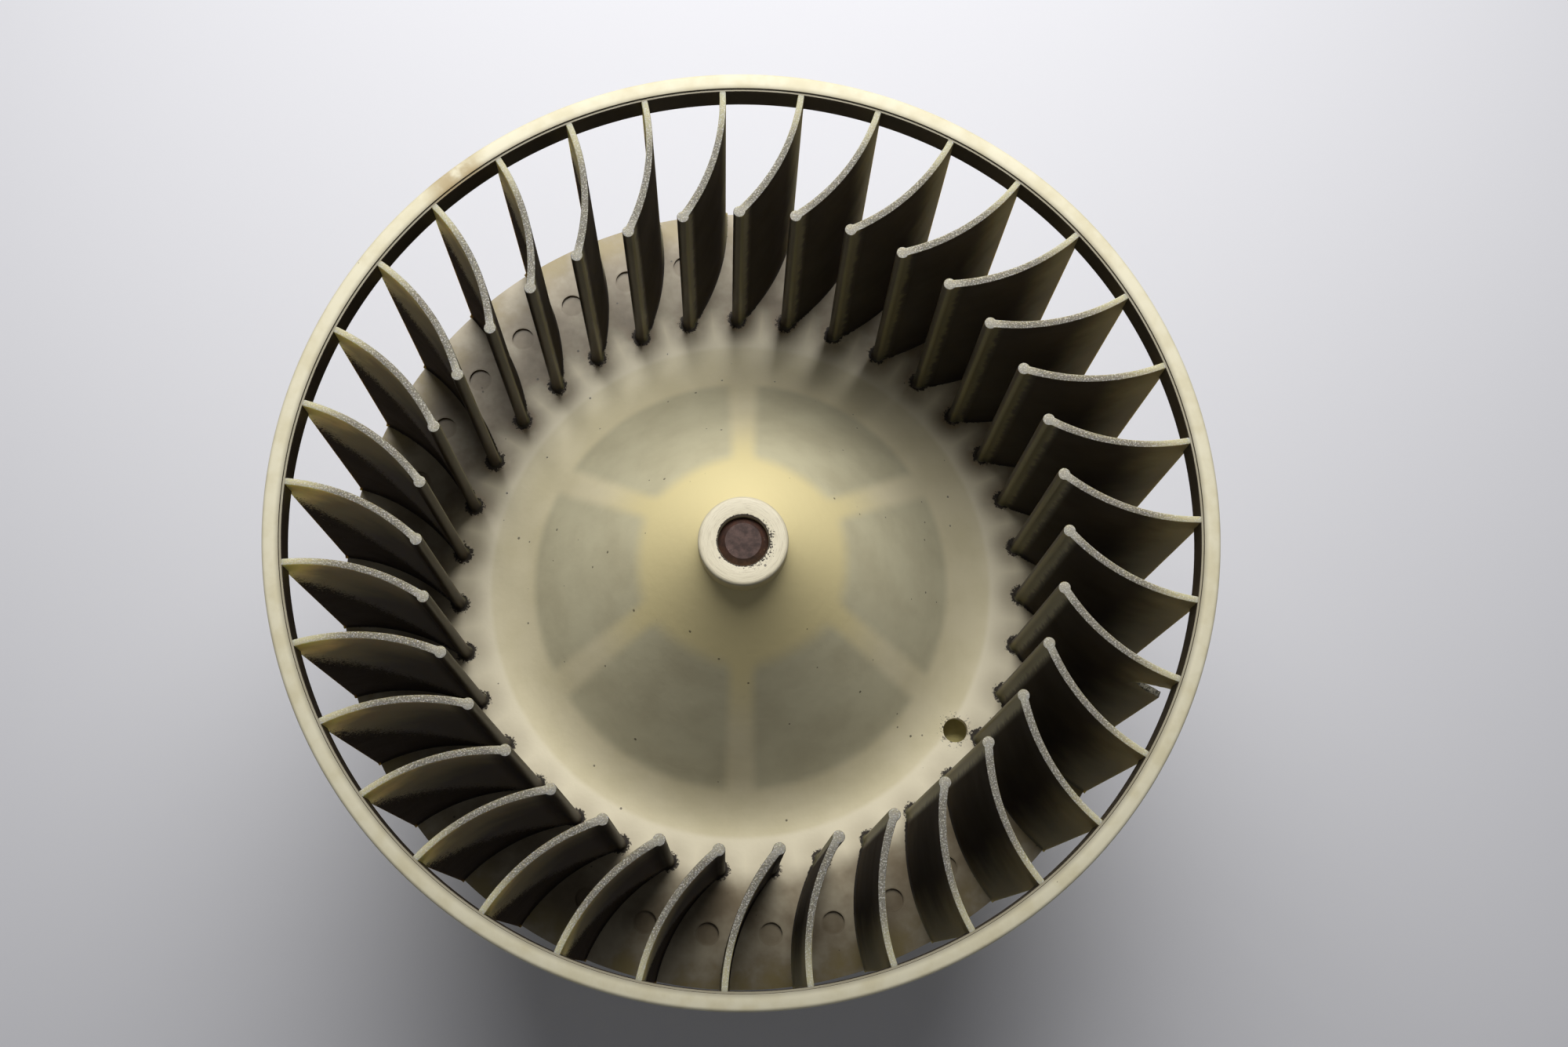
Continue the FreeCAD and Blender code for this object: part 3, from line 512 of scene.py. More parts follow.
def paint_pin_shade(tree, place, shown):
    from_pin = distance_to_row(tree, place, PIN_START, PIN_PLACE_RADIUS)
    off_edge = calculate(tree, "ABSOLUTE", calculate(tree, "SUBTRACT", from_pin, PIN_RADIUS))
    # Painted shade: a dark line round each pin mark's rim and a darker inside, where the shallow recess is in
    # shade.
    edge = times(tree, ramp(tree, off_edge, 0.05, 0.3, 1.0, 0.0), 0.3)
    inside = ramp(tree, from_pin, PIN_RADIUS - 0.2, PIN_RADIUS + 0.05, 0.42, 0.0)
    return blend(tree, calculate(tree, "MAXIMUM", edge, inside), shown, PIN_SHADE_BROWN)


def paint_grease_and_shade(tree, place, mottle, from_tip, shown):
    radius = place["Radius"]
    # Brown smears in from the feet, heavier on one side of the wheel: part grease and part painted shadow of
    # the blades.
    shadow_side = ramp(tree, calculate(tree, "SINE", place["Angle"]), -0.4, 0.6, 0.3, 1.0)
    smear_and_shadow = times(tree, ramp(tree, from_tip, 1.2, 6.0, 0.95, 0.0), shadow_side)
    shown = blend(tree, times(tree, smear_and_shadow, ramp(tree, mottle, 0.25, 0.6, 0.45, 0.9)), shown, SMEAR_AND_SHADOW_BROWN)
    # The brown film between the blades is part grease and part painted shade.
    between = times(tree, ramp(tree, radius, TIP_RADIUS - 1.0, TIP_RADIUS + 4.0),
                    ramp(tree, mottle, 0.25, 0.7, 0.6, 0.9))
    shown = blend(tree, between, shown, GREASE_AND_SHADE_BROWN)
    rim = times(tree, ramp(tree, radius, 62.0, 68.0), ramp(tree, mottle, 0.4, 0.6))
    return blend(tree, times(tree, rim, 0.6), shown, RIM_OLIVE)


# %% [markdown]
# The dome's material puts these layers on top of each other, from the plastic with its painted glow up to the
# last speck.
# Where soot lies, the surface is also rougher.


# %% Material of the dome, plate and hub
def dome_material():
    material, tree, shader = start_material("cream_dome_plastic", 0.42)
    place = use_group(tree, place_group).outputs
    position = place["Position"]
    mottle = noise(tree, position, 0.12, 4.0)
    hub = ramp(tree, place["Height"], HUB_TOP - 1.2, HUB_TOP - 0.4)
    shown = blend(tree, hub, dome_colour_with_painted_glow(tree, place, mottle), HUB_CREAM)
    scratches = hub_scratches(tree, place)
    lines = times(tree, ramp(tree, scratches, 0.45, 0.7), times(tree, hub, 0.5))
    shown = blend(tree, lines, shown, SCRATCH_GREY)

    from_tip = distance_to_row(tree, place, BLADE_START + TIP_SWEEP, TIP_RADIUS)
    shown = paint_grease_and_shade(tree, place, mottle, from_tip, paint_pin_shade(tree, place, shown))
    hole = (HOLE_PLACE_RADIUS * math.cos(HOLE_ANGLE), HOLE_PLACE_RADIUS * math.sin(HOLE_ANGLE), PLATE_TOP)
    round_hole = ramp(tree, distance_to(tree, position, hole), 2.2, 4.4, 0.3, 0.0)
    foot_or_bore = calculate(tree, "MAXIMUM", foot_soot(tree, place, from_tip), bore_dirt(tree, place, hub))
    amount = calculate(tree, "MAXIMUM", foot_or_bore, round_hole)
    looks_up = calculate(tree, "GREATER_THAN", place["Up"], 0.5)
    soot = use_group(tree, soot_group, {
        "Colour": shown, "Amount": times(tree, amount, looks_up), "Position": position, "Stipple": 0.7})
    final = add_specks(tree, position, soot.outputs["Colour"], linear(60, 52, 40), 0.75, 0.42, 0.1, 0.5)
    tree.links.new(final, shader.inputs["Base Color"])
    tree.links.new(ramp(tree, soot.outputs["Mask"], 0.0, 1.0, 0.42, 0.7), shader.inputs["Roughness"])
    add_bump(tree, shader, blend(tree, hub, noise(tree, position, 0.6, 5.0), scratches), 0.2)
    return material


DOME = dome_material()
print(DOME.name, "nodes:", len(DOME.node_tree.nodes))

# %% [markdown]
# The blades carry the most dirt, and painted light and shade as well. Their hollow faces are yellow by the
# ring and turn brown-grey with depth. The yellow is a painted glow of light through the plastic, and the
# brown-grey is soot with painted shade. A black band of soot widens down their outer edge. The other faces
# are nearly black with soot. Their olive outer edge is a painted glow, and the olive line on the bead's flank
# is a painted sheen. Subsurface light adds to the glow of the faces by the ring. The film is so matt that the
# shader's gloss is off; only the beads, rubbed smooth, have a thin coat. The flat tops were pressed by the
# mould and carry fine pale flecks, which are painted glints.


# %% Material of the blades
def blade_face_colour(tree, place, from_top, to_ring, cloud, hollow_side):
    cloudy = swing(tree, cloud, 0.5)
    # Painted glow and shade on the hollow faces: pale yellow by the ring and the top, and darker with depth,
    # where painted shade lies with the soot.
    sunk = calculate(tree, "ADD", times(tree, from_top, 0.022), times(tree, to_ring, 0.032))
    depth = calculate(tree, "ADD", sunk, cloudy)
    pale = blend(tree, ramp(tree, depth, 0.05, 0.4), linear(240, 224, 158), linear(150, 140, 112))
    pale = blend(tree, ramp(tree, depth, 0.4, 1.0), pale, linear(106, 99, 91))
    dirty = blend(tree, cloud, linear(50, 45, 40), linear(74, 68, 60))
    # On the other faces, the olive by the ring is a painted glow; further in, the faces are sooty.
    inwards = calculate(tree, "ADD", to_ring, times(tree, cloudy, 12.0))
    dark = blend(tree, ramp(tree, inwards, 0.5, 10.0), linear(140, 132, 104), dirty)
    face = blend(tree, hollow_side, dark, pale)
    # Painted sheen: an olive line down the bead's flank on the convex side.
    ragged = swing(tree, noise(tree, place["Position"], 0.5, 4.0), 1.6)
    on_bead = ramp(tree, calculate(tree, "ADD", place["Radius"], ragged),
                   TIP_RADIUS + 0.2, TIP_RADIUS + 0.9, 0.6, 0.0)
    sheen_on_flank = times(tree, on_bead, ramp(tree, place["Side"], -0.5, 0.0, 1.0, 0.0))
    return blend(tree, sheen_on_flank, face, BEAD_SHEEN_OLIVE)


def blade_top_colour(tree, place, to_ring):
    # Painted glints: fine pale flecks on the flat tops.
    glint_flecks = ramp(tree, noise(tree, place["Position"], 4.0, 2.0, 0.7), 0.5, 0.66)
    strip = blend(tree, ramp(tree, to_ring, 1.0, 9.0), linear(190, 184, 154), linear(122, 119, 110))
    strip = blend(tree, times(tree, glint_flecks, 0.8), strip, linear(218, 215, 206))
    bead = ramp(tree, place["Radius"], TIP_RADIUS + 0.4, TIP_RADIUS + 2.2, 1.0, 0.0)
    return blend(tree, times(tree, bead, 0.35), strip, linear(206, 203, 190))


def blade_material():
    material, tree, shader = start_material("sooty_blade_plastic_with_painted_light", 0.5)
    shader.inputs["Specular IOR Level"].default_value = 0.0
    shader.inputs["Coat Roughness"].default_value = 0.3
    shader.inputs["Subsurface Weight"].default_value = 0.6
    shader.inputs["Subsurface Radius"].default_value = (1.0, 0.8, 0.35)
    shader.inputs["Subsurface Scale"].default_value = 3 * MM
    place = use_group(tree, place_group).outputs
    radius, position = place["Radius"], place["Position"]
    from_top = calculate(tree, "SUBTRACT", BLADE_TOP, place["Height"])
    to_ring = calculate(tree, "SUBTRACT", RING_INNER, radius)
    cloud = noise(tree, position, 0.1, 4.0)
    hollow_side = times(tree, ramp(tree, place["Side"], -0.1, 0.1),
                        ramp(tree, radius, TIP_RADIUS + 0.6, TIP_RADIUS + 3.0))
    band = calculate(tree, "SUBTRACT", times(tree, from_top, 0.4), to_ring)
    soot = use_group(tree, soot_group, {
        "Colour": blade_face_colour(tree, place, from_top, to_ring, cloud, hollow_side),
        "Amount": times(tree, ramp(tree, band, 0.5, 9.0), hollow_side), "Position": position,
        "Stipple": 0.9, "Dark": linear(50, 43, 37), "Pale": linear(72, 64, 56)})

    on_top = times(tree, ramp(tree, place["Up"], 0.3, 0.7), ramp(tree, from_top, 0.5, 1.0, 1.0, 0.0))
    shown = blend(tree, on_top, soot.outputs["Colour"], blade_top_colour(tree, place, to_ring))
    tree.links.new(shown, shader.inputs["Base Color"])
    at_bead = ramp(tree, radius, TIP_RADIUS + 0.3, TIP_RADIUS + 1.4, 1.0, 0.0)
    not_top = calculate(tree, "SUBTRACT", 1.0, on_top)
    tree.links.new(times(tree, times(tree, at_bead, not_top), 0.35), shader.inputs["Coat Weight"])
    add_bump(tree, shader, cloud, 0.15)
    return material


BLADE = blade_material()
print(BLADE.name, "nodes:", len(BLADE.node_tree.nodes))

# %% [markdown]
# The ring is the cleanest part. Its inner face is black with soot, its inner lip is grey, and one brown
# stain marks its top. The stain is a ball of colour round one point, broken up by the same noise that
# mottles the plastic.

# %% Material of the ring
STAIN_ANGLE = math.radians(130)


def ring_material():
    material, tree, shader = start_material("cream_ring_plastic", 0.5)
    shader.inputs["Specular IOR Level"].default_value = 0.4
    place = use_group(tree, place_group).outputs
    position = place["Position"]
    mottle = noise(tree, position, 0.25, 4.0)
    base = blend(tree, ramp(tree, mottle, 0.35, 0.7), linear(218, 212, 186), linear(207, 199, 168))
    lip = ramp(tree, place["Radius"], RING_INNER + 0.2, RING_INNER + 1.3, 1.0, 0.0)
    base = blend(tree, times(tree, lip, 0.7), base, linear(120, 112, 92))
    stain_place = (RING_INNER * math.cos(STAIN_ANGLE), RING_INNER * math.sin(STAIN_ANGLE), LAND_TOP)
    stain = ramp(tree, distance_to(tree, position, stain_place), 2.0, 7.0, 0.7, 0.0)
    base = blend(tree, times(tree, stain, ramp(tree, mottle, 0.3, 0.6)), base, linear(150, 124, 70))
    soot = use_group(tree, soot_group, {
        "Colour": base, "Amount": ramp(tree, place["Outward"], -0.8, -0.4, 0.95, 0.0),
        "Position": position, "Stipple": 0.12})
    shown = add_specks(tree, position, soot.outputs["Colour"], linear(84, 74, 56), 0.6, 0.5, 0.08, 0.12)
    tree.links.new(shown, shader.inputs["Base Color"])
    add_bump(tree, shader, noise(tree, position, 0.35, 3.0), 0.1)
    return material


RING = ring_material()
print(RING.name, "nodes:", len(RING.node_tree.nodes))

# %% [markdown]
# The broken face is grainy, pale in some places and dark in others. Rough noise gives both its colour and
# its bump.


# %% Material of the broken face
def fracture_material():
    material, tree, shader = start_material("broken_plastic", 0.75)
    place = use_group(tree, place_group).outputs
    grain = noise(tree, place["Position"], 1.8, 5.0, 0.8)
    shown = blend(tree, ramp(tree, grain, 0.42, 0.58), linear(48, 44, 34), linear(158, 154, 136))
    tree.links.new(shown, shader.inputs["Base Color"])
    add_bump(tree, shader, grain, 0.8)
    return material


FRACTURE = fracture_material()
print(FRACTURE.name, "nodes:", len(FRACTURE.node_tree.nodes))

# %% [markdown]
# The plate, dome and hub are one turned shape, as in the CAD part: a flat plate, a soft skirt, a straight
# cone and the hub's short tube. Behind the cone lie the core and the hollow. The wall is as thick square to
# the cone as anywhere else, so along the axis it is thicker by the cone's slope.

# %% Section of the dome
HUB_RADIUS = 7.2
BORE_RADIUS = 4.08
CONE_TOP = HUB_TOP - 4.7
FOOT_RADIUS = 34.0
FOOT_TOP = PLATE_TOP + 5.7
CORE_RADIUS = 16.6
CORE_BOTTOM = 85.0
TUBE_RADIUS = 8.5
TUBE_BOTTOM = 81.0
CONE_SLOPE = (CONE_TOP - FOOT_TOP) / (FOOT_RADIUS - HUB_RADIUS)
WALL_DROP = PLATE_THICKNESS * math.hypot(1, CONE_SLOPE)
CORE_TOP = CONE_TOP - CONE_SLOPE * (CORE_RADIUS - HUB_RADIUS) - WALL_DROP
CAVITY_RIM = FOOT_TOP - CONE_SLOPE * (CAVITY_RADIUS - FOOT_RADIUS) - WALL_DROP
print("cone slope", round(CONE_SLOPE, 3), "and core top", round(CORE_TOP, 2), "mm")


def skirt_points(count=10):
    """The soft curve from the flat plate up to the foot of the cone, which it meets at the cone's slope."""
    run = STEP_RADIUS - FOOT_RADIUS
    points = []
    for step in range(1, count):
        share = step / count
        rise = (3 * share ** 2 - 2 * share ** 3) * (FOOT_TOP - PLATE_TOP)
        rise += CONE_SLOPE * run * (share ** 3 - share ** 2)
        points.append((STEP_RADIUS - run * share, PLATE_TOP + rise))
    return points


def make_dome():
    hub_edge, bore_edge, cone_steps = 0.6, 0.15, 6
    section = [(BORE_RADIUS, TUBE_BOTTOM), (TUBE_RADIUS, TUBE_BOTTOM), (TUBE_RADIUS, CORE_BOTTOM),
               (CORE_RADIUS, CORE_BOTTOM), (CORE_RADIUS, CORE_TOP), (CAVITY_RADIUS, CAVITY_RIM),
               (CAVITY_RADIUS, WHEEL_FLOOR), (RING_INNER, WHEEL_FLOOR), (RING_INNER, PLATE_TOP),
               (STEP_RADIUS, PLATE_TOP)]
    section += skirt_points()
    for step in range(cone_steps + 1):
        section.append((FOOT_RADIUS + (HUB_RADIUS - FOOT_RADIUS) * step / cone_steps,
                        FOOT_TOP + (CONE_TOP - FOOT_TOP) * step / cone_steps))
    section += arc((HUB_RADIUS - hub_edge, HUB_TOP - hub_edge), hub_edge, 0, 90, 5)
    section += arc((BORE_RADIUS + bore_edge, HUB_TOP - bore_edge), bore_edge, 90, 180, 4)
    dome = turned("wheel_plate_and_dome", section)
    dome.data.materials.append(DOME)
    return dome


# %% [markdown]
# One round hole goes through the plate, probably for a screwdriver. The 35 pin marks are where pins pushed
# the moulding out of its tool. All are upright cylinders that are cut from the turned shape; the pins'
# cutters are joined first, so that one Boolean does them all.

# %% Dome with its hole and pin marks
HOLE_RADIUS = 2.15
PIN_DEPTH = 0.55


def make_cutter(place_radius, angle, radius, low, steps=28):
    """An upright cylinder from a level to above the plate, at a radius and an angle from the shaft."""
    x, y = place_radius * math.cos(angle), place_radius * math.sin(angle)
    turns = [math.tau * step / steps for step in range(steps)]
    outline = [(Vector((x + radius * math.cos(turn), y + radius * math.sin(turn))), Vector((0, 0)))
               for turn in turns]
    cutter = prism("cutter", outline, [(low, 0), (PLATE_TOP + 1, 0)])
    cutter.data.materials.append(DOME)
    return cutter


dome = make_dome()
cut(dome, make_cutter(HOLE_PLACE_RADIUS, HOLE_ANGLE, HOLE_RADIUS, WHEEL_FLOOR - 1))
pin_cutters = [make_cutter(PIN_PLACE_RADIUS, PIN_START - index * PITCH, PIN_RADIUS, PLATE_TOP - PIN_DEPTH)
               for index in range(BLADE_COUNT)]
with bpy.context.temp_override(active_object=pin_cutters[0], selected_editable_objects=pin_cutters):
    bpy.ops.object.join()
cut(dome, pin_cutters[0])
dome.data.shade_smooth()
dome.data.set_sharp_from_angle(angle=math.radians(35))
print("dome faces:", len(dome.data.polygons))

# %% [markdown]
# One blade is stacked from its outline: the arc, which thickens a little towards the inside, and the round
# bead that ends it. The levels give it a small fillet at its foot and a soft upper edge. A curve with a
# bevel could give the same bead, but then blade and bead would be two shells and not one moulding.

# %% Blade outline
BLADE_THICKNESS = 1.0
TIP_THICKNESS = 1.3
BEAD_RADIUS = 0.95
INTO_RING = 0.4


def blade_sides(steps=16):
    """Points and outward normals of the blade's two faces, from the ring to the bead."""
    centre = Vector((RING_INNER, BLADE_CURVE))
    sweep = math.atan2(RING_INNER - tip.x, BLADE_CURVE - tip.y)
    neck = math.sqrt(BEAD_RADIUS ** 2 - (TIP_THICKNESS / 2) ** 2) / BLADE_CURVE
    upper, lower = [], []
    for step in range(steps + 1):
        share = step / steps
        turn = (sweep - neck) * share
        half = (BLADE_THICKNESS + (TIP_THICKNESS - BLADE_THICKNESS) * share ** 2) / 2
        ray = Vector((-math.sin(turn), -math.cos(turn)))
        lower.append((centre + ray * (BLADE_CURVE + half), ray))
        upper.append((centre + ray * (BLADE_CURVE - half), -ray))
    return upper, lower


def blade_outline(bead_steps=12):
    """The whole section of one blade that starts on +X, anticlockwise."""
    upper, lower = blade_sides()
    first = math.atan2(*reversed(upper[-1][0] - tip))
    last = math.atan2(*reversed(lower[-1][0] - tip))
    if last < first:
        last += math.tau
    half, beyond = BLADE_THICKNESS / 2, RING_INNER + INTO_RING
    outline = [(Vector((beyond, half)), Vector((0, 1)))] + upper
    for step in range(1, bead_steps):
        angle = first + (last - first) * step / bead_steps
        ray = Vector((math.cos(angle), math.sin(angle)))
        outline.append((tip + ray * BEAD_RADIUS, ray))
    return outline + list(reversed(lower)) + [(Vector((beyond, -half)), Vector((0, -1)))]


def make_blade():
    fillet = [(PLATE_TOP - 0.3, 0.4), (PLATE_TOP + 0.01, 0.32), (PLATE_TOP + 0.12, 0.16),
              (PLATE_TOP + 0.3, 0.06), (PLATE_TOP + 0.6, 0.0)]
    walls = [(PLATE_TOP + 2 + (BLADE_TOP - PLATE_TOP - 2.3) * step / 6, 0) for step in range(7)]
    crown = [(BLADE_TOP - 0.15, 0), (BLADE_TOP - 0.04, -0.05), (BLADE_TOP, -0.16)]
    return prism("one_blade", blade_outline(), fillet + walls + crown, 40)


blades = make_blade()
blades.name = "wheel_blades"
blades.data.materials.append(BLADE)
print("faces of one blade:", len(blades.data.polygons))

# %% [markdown]
# The 35 blades are one shape repeated about the shaft, which is work for Geometry Nodes: one point for each
# blade, all on the axis, an instance of the blade on each, and a turn of one pitch more for each index. The
# count and the start angle are the tree's inputs, so another wheel needs only other numbers. Instances are
# made real at the end, because the cut that follows needs a real mesh.


# %% Ring of blades with Geometry Nodes
def make_ring_of_blades():
    tree = bpy.data.node_groups.new("ring of blades", "GeometryNodeTree")
    tree.interface.new_socket("Geometry", in_out="INPUT", socket_type="NodeSocketGeometry")
    count = tree.interface.new_socket("Count", in_out="INPUT", socket_type="NodeSocketInt")
    start = tree.interface.new_socket("Start", in_out="INPUT", socket_type="NodeSocketFloat")
    tree.interface.new_socket("Geometry", in_out="OUTPUT", socket_type="NodeSocketGeometry")
    inside, out = tree.nodes.new("NodeGroupInput"), tree.nodes.new("NodeGroupOutput")
    points = add(tree, "GeometryNodePoints", {"Count": inside.outputs["Count"]})
    index = add(tree, "GeometryNodeInputIndex").outputs[0]
    pitch = calculate(tree, "DIVIDE", math.tau, inside.outputs["Count"])
    turn = calculate(tree, "SUBTRACT", inside.outputs["Start"], times(tree, index, pitch))
    rotation = add(tree, "ShaderNodeCombineXYZ", {2: turn}).outputs[0]
    placed = add(tree, "GeometryNodeInstanceOnPoints", {
        "Points": points.outputs[0], "Instance": inside.outputs["Geometry"], "Rotation": rotation})
    real = add(tree, "GeometryNodeRealizeInstances", {"Geometry": placed.outputs[0]})
    painted = add(tree, "GeometryNodeSetMaterial", {"Geometry": real.outputs[0], "Material": BLADE})
    tree.links.new(painted.outputs[0], out.inputs[0])
    return tree, count.identifier, start.identifier


blade_tree, count_input, start_input = make_ring_of_blades()
modifier = blades.modifiers.new("ring of blades", "NODES")
modifier.node_group = blade_tree
modifier[count_input] = BLADE_COUNT
modifier[start_input] = BLADE_START
bpy.context.view_layer.update()
apply_modifiers(blades)
print("blade faces:", len(blades.data.polygons))

# %% [markdown]
# One blade has lost a piece of its outer edge, a little below the ring. The cutter is a bowed outline with a
# jagged border, repeated in a few layers that wander a little, so that the broken face is uneven in both
# directions. The random draws have a fixed seed, and the break is the same in every run.

# %% The break
BROKEN_BLADE = 11
BREAK_START = 7.4
BREAK_LENGTH = 9.0
BREAK_MIDDLE = 12.7
BREAK_DEPTH = 4.1
BREAK_STEPS = 18
CUTTER_LAYERS = 5
CUTTER_WIDTH = 4.0
CUTTER_OUTER = RING_INNER + 1.2


def break_profile():
    """Radius and height along the jagged border, from the top down. Its deepest point is off the middle."""
    profile = []
    for step in range(BREAK_STEPS + 1):
        drop = BREAK_START + BREAK_LENGTH * step / BREAK_STEPS
        if drop < BREAK_MIDDLE:
            reach = BREAK_MIDDLE - BREAK_START
        else:
            reach = BREAK_START + BREAK_LENGTH - BREAK_MIDDLE
        depth = BREAK_DEPTH * (1 - abs((drop - BREAK_MIDDLE) / reach) ** 1.6)
        profile.append((RING_INNER - depth + random.uniform(-0.25, 0.25), BLADE_TOP - drop))
    return profile


def make_break_cutter():
    random.seed(7)
    past_end = 0.2
    section = [(CUTTER_OUTER, BLADE_TOP - BREAK_START + past_end)] + break_profile()
    section.append((CUTTER_OUTER, BLADE_TOP - BREAK_START - BREAK_LENGTH - past_end))
    outward, around = directions(BLADE_START - BROKEN_BLADE * PITCH)
    count = len(section)
    points = []
    for layer in range(CUTTER_LAYERS):
        offset = CUTTER_WIDTH * (layer / (CUTTER_LAYERS - 1) - 0.5)
        for index, (radius, height) in enumerate(section):
            wander = random.uniform(-0.2, 0.2) if 0 < index < count - 1 else 0
            points.append(outward * (radius + wander) + around * offset + Vector((0, 0, height)))
    faces = [tuple(range(count)), tuple(reversed(range(len(points) - count, len(points))))]
    for layer in range(CUTTER_LAYERS - 1):
        low, high = layer * count, (layer + 1) * count
        for index in range(count):
            beyond = (index + 1) % count
            faces.append((low + beyond, low + index, high + index, high + beyond))
    cutter = make_object("break_cutter", points, faces)
    cutter.data.materials.append(FRACTURE)
    return cutter


cut(blades, make_break_cutter())
print("blade materials:", [m.name for m in blades.data.materials])

# %% [markdown]
# The ring ties the blades' outer ends together. It is a turned section with round outer edges, and its top
# is a land that stands a third of a millimetre above the blades' tops.

# %% Ring
RING_OUTER = 72.5
RING_HEIGHT = 5.0
LAND_INNER = RING_INNER + 0.4


def make_ring():
    low = BLADE_TOP - RING_HEIGHT
    outer_edge, inner_edge = 0.6, 0.15
    section = [(RING_INNER, low)]
    section += arc((RING_OUTER - outer_edge, low + outer_edge), outer_edge, -90, 0, 5)
    section += arc((RING_OUTER - outer_edge, LAND_TOP - outer_edge), outer_edge, 0, 90, 5)
    section += arc((LAND_INNER + inner_edge, LAND_TOP - inner_edge), inner_edge, 90, 180, 3)
    section += [(LAND_INNER, BLADE_TOP + 0.02), (RING_INNER + 0.1, BLADE_TOP), (RING_INNER, BLADE_TOP - 0.1)]
    ring = turned("wheel_ring", section)
    ring.data.materials.append(RING)
    return ring


ring = make_ring()
print("ring faces:", len(ring.data.polygons))

# %% [markdown]
# Six flat ribs stiffen the dome from behind. They show only from below, so each is a plain thin plate
# between the core and the hollow's wall, let into both.

# %% Ribs behind the dome
RIB_THICKNESS = 1.8
RIB_SEAT = 0.8


def make_ribs():
    outer = CAVITY_RADIUS + RIB_SEAT / 2
    inner = CORE_RADIUS - RIB_SEAT
    outline = [(inner, CORE_BOTTOM), (outer, WHEEL_FLOOR + 0.8),
               (outer, CAVITY_RIM + RIB_SEAT / 2), (inner, CORE_TOP + RIB_SEAT)]
    points, faces = [], []
    for rib in range(RIB_COUNT):
        outward, around = directions(RIB_START + rib * RIB_PITCH)
        first = len(points)
        for offset in (-RIB_THICKNESS / 2, RIB_THICKNESS / 2):
            points += [outward * r + around * offset + Vector((0, 0, z)) for r, z in outline]
        faces.append(tuple(first + i for i in range(4)))
        faces.append(tuple(first + 4 + i for i in reversed(range(4))))
        for index in range(4):
            beyond = (index + 1) % 4
            faces.append((first + beyond, first + index, first + 4 + index, first + 4 + beyond))
    ribs = make_object("wheel_ribs", points, faces, 20)
    ribs.data.materials.append(DOME)
    return ribs


ribs = make_ribs()
print("rib faces:", len(ribs.data.polygons))

# %% [markdown]
# These four pieces are one moulding on the real wheel, so they ride on one body and together stand for the
# CAD part's wheel.

# %% Dress the wheel
for piece in (dome, blades, ring, ribs):
    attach(piece, "rotor")
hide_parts("blower_wheel")
print("dressed:", [piece.name for piece in (dome, blades, ring, ribs)])

# %% [markdown]
# The shaft and the motor keep their CAD meshes. Their surfaces differ in colour, metal and roughness but
# age in the same way, so one function makes all of them: broad noise wanders between two near colours and
# moves the roughness with it, and rust adds spots of a third colour.


# %% Motor materials
def worn_material(name, first, second, metallic, roughness, scale, spots=None):
    """A surface that wanders between two colours, with spots of a third if one is given."""
    material, tree, shader = start_material(name, roughness, metallic)
    place = use_group(tree, place_group).outputs
    cloud = noise(tree, place["Position"], scale, 5.0, 0.65)
    shown = blend(tree, ramp(tree, cloud, 0.32, 0.68), first, second)
    if spots is not None:
        shown = add_specks(tree, place["Position"], shown, spots, 0.6, scale * 1.8, 0.28, 0.4)
    tree.links.new(shown, shader.inputs["Base Color"])
    tree.links.new(ramp(tree, cloud, 0.3, 0.7, roughness - 0.08, roughness + 0.1), shader.inputs["Roughness"])
    add_bump(tree, shader, cloud, 0.15)
    return material


rusty = worn_material("rusty_shaft_steel", linear(74, 47, 37), linear(52, 34, 28), 0.1, 0.6, 0.9,
                      linear(106, 78, 62))
zinc = worn_material("yellow_zinc_steel", linear(214, 202, 134), linear(190, 180, 118), 0.3, 0.5, 0.15)
can = worn_material("plated_can_steel", linear(156, 156, 154), linear(142, 143, 144), 0.85, 0.42, 0.12)
cap = worn_material("black_cap_plastic", linear(34, 34, 35), linear(24, 24, 25), 0.0, 0.55, 0.4)
bronze = worn_material("sintered_bronze", linear(150, 112, 70), linear(118, 86, 54), 0.85, 0.45, 1.6)
nylon = worn_material("white_nylon", linear(214, 210, 198), linear(196, 192, 178), 0.0, 0.5, 0.8)
ferrite = worn_material("dark_ferrite", linear(58, 58, 60), linear(42, 42, 44), 0.1, 0.7, 0.8)
iron = worn_material("laminated_iron", linear(112, 112, 114), linear(82, 82, 86), 0.8, 0.45, 1.0)
copper = worn_material("enamelled_copper", linear(168, 92, 52), linear(128, 64, 38), 0.8, 0.35, 1.4)
bars = worn_material("commutator_copper", linear(186, 122, 84), linear(132, 84, 60), 0.9, 0.35, 1.2)
brass = worn_material("guide_brass", linear(186, 156, 92), linear(152, 124, 70), 0.9, 0.35, 1.0)
carbon = worn_material("brush_carbon", linear(38, 38, 38), linear(24, 24, 24), 0.0, 0.75, 2.0)
spring = worn_material("spring_steel", linear(160, 160, 160), linear(128, 128, 130), 0.95, 0.3, 1.5)
tin = worn_material("tinned_brass", linear(196, 192, 180), linear(162, 158, 146), 0.9, 0.35, 1.0)
print("materials now in the file:", len(bpy.data.materials))

# %% Paint the motor
MATERIALS = {
    "motor_shaft": rusty, "motor_can": can, "mounting_flange": zinc, "end_cap": cap,
    "front_bearing": bronze, "rear_bearing": bronze, "thrust_pad": nylon, "armature_core": iron,
    "armature_winding": copper, "commutator": bars,
}
PAIRED_MATERIALS = {
    "magnet_": ferrite, "brush_box_": brass, "brush_": carbon, "brush_spring_": spring, "terminal_": tin,
}
for piece_name, material in PAIRED_MATERIALS.items():
    for side in ("left", "right"):
        MATERIALS[piece_name + side] = material
for node, material in MATERIALS.items():
    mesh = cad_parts[node].data
    mesh.materials.clear()
    mesh.materials.append(material)
print("painted", len(MATERIALS), "CAD nodes")

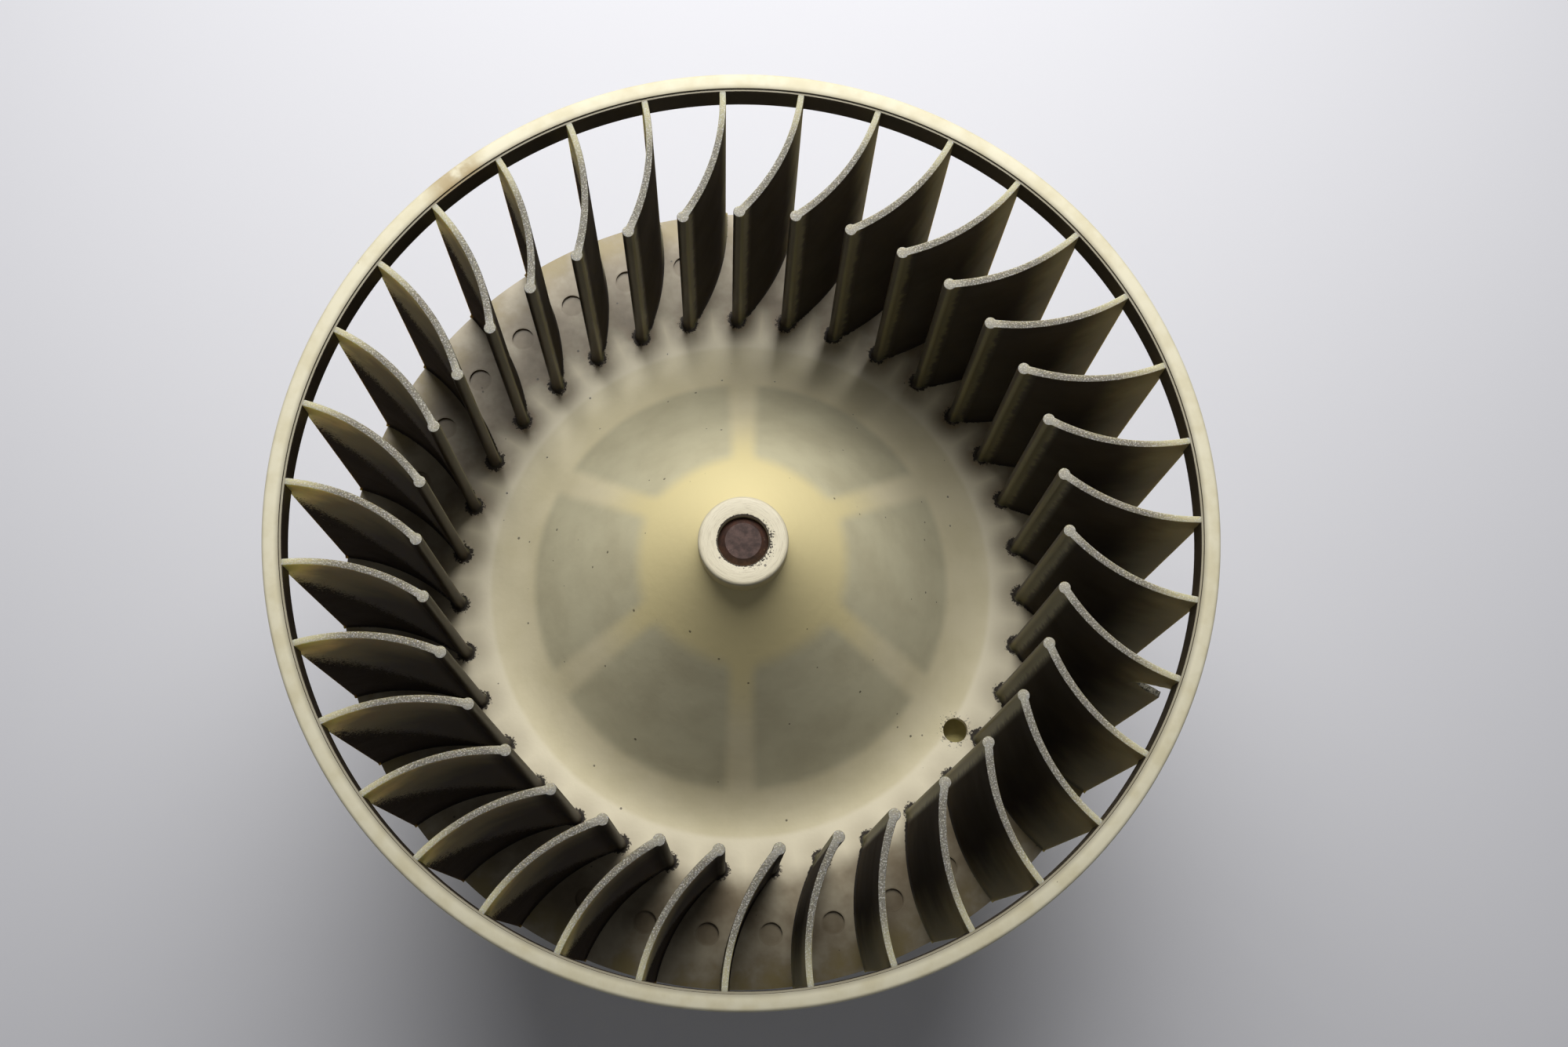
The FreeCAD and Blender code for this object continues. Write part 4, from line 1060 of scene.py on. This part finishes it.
# %% [markdown]
# The photo was taken beside a window: one soft light from the far side, and little else. A disc lamp behind
# and above the fan gives that, with a narrow spread so that the floor falls to grey on the near side. A weak
# sky fills the shadows. The floor is matt and nearly white.

# %% Floor
FLOOR_REACH = 3000
FLOOR_LEVEL = -0.05


def make_floor():
    corners = [(-1, -1), (1, -1), (1, 1), (-1, 1)]
    floor = make_object("floor", [(x * FLOOR_REACH, y * FLOOR_REACH, FLOOR_LEVEL) for x, y in corners],
                        [(0, 1, 2, 3)])
    material, tree, shader = start_material("pale_floor", 0.9)
    shader.inputs["Specular IOR Level"].default_value = 0.1
    soft = noise(tree, add(tree, "ShaderNodeTexCoord").outputs["Object"], 3.0, 2.0)
    shown = blend(tree, soft, linear(205, 206, 212), linear(209, 210, 216))
    tree.links.new(shown, shader.inputs["Base Color"])
    floor.data.materials.append(material)


make_floor()
print("floor lies at", FLOOR_LEVEL, "mm")


# %% Light
def make_window_light(place, aim, size, power, colour, spread):
    """A disc lamp. Its place, aim and size are in metres, and its spread is in degrees."""
    lamp = bpy.data.lights.new("far_window", "AREA")
    lamp.shape = "DISK"
    lamp.size = size
    lamp.energy = power
    lamp.color = colour
    lamp.spread = math.radians(spread)
    holder = bpy.data.objects.new("far_window", lamp)
    bpy.context.scene.collection.objects.link(holder)
    holder.location = place
    holder.rotation_euler = (Vector(aim) - Vector(place)).to_track_quat("-Z", "Y").to_euler()


def make_sky(colour, strength):
    world = bpy.data.worlds.new("studio")
    bpy.context.scene.world = world
    world.use_nodes = True
    background = world.node_tree.nodes["Background"]
    background.inputs[0].default_value = colour
    background.inputs[1].default_value = strength


make_window_light(place=(0.0, 0.36, 0.46), aim=(0, 0.2, 0.05), size=0.5, power=1.45,
                  colour=(1.0, 0.985, 0.96), spread=90)
make_sky(colour=(0.95, 0.96, 1.0, 1), strength=0.14)
scene = bpy.context.scene
scene.view_settings.view_transform = "Standard"
print("lamps:", [lamp.name for lamp in bpy.data.lights], "and sky:", scene.world.name)

# %% [markdown]
# The camera stands where the photographer's did. Its place and turn were found from the ring, the blades
# and the plate in the photo. It looks almost straight down and leans a little towards the far side.

# %% Camera
CAMERA_PLACE = Vector((-2.356, -68.710, 432.805))
CAMERA_RIGHT = Vector((0.999605, 0.003863, 0.027835))
CAMERA_UP = Vector((-0.009743, 0.976714, 0.214323))
LENS = 48.30


def make_camera():
    data = bpy.data.cameras.new("photo_camera")
    data.sensor_width = 36
    data.lens = LENS
    data.clip_start, data.clip_end = 0.01, 20
    camera = bpy.data.objects.new("photo_camera", data)
    scene.collection.objects.link(camera)
    turn = Matrix((CAMERA_RIGHT, CAMERA_UP, CAMERA_RIGHT.cross(CAMERA_UP))).transposed()
    camera.matrix_world = Matrix.Translation(CAMERA_PLACE * MM) @ turn.to_4x4()
    scene.camera = camera


make_camera()
print("camera stands", round(CAMERA_PLACE.z), "mm above the floor")
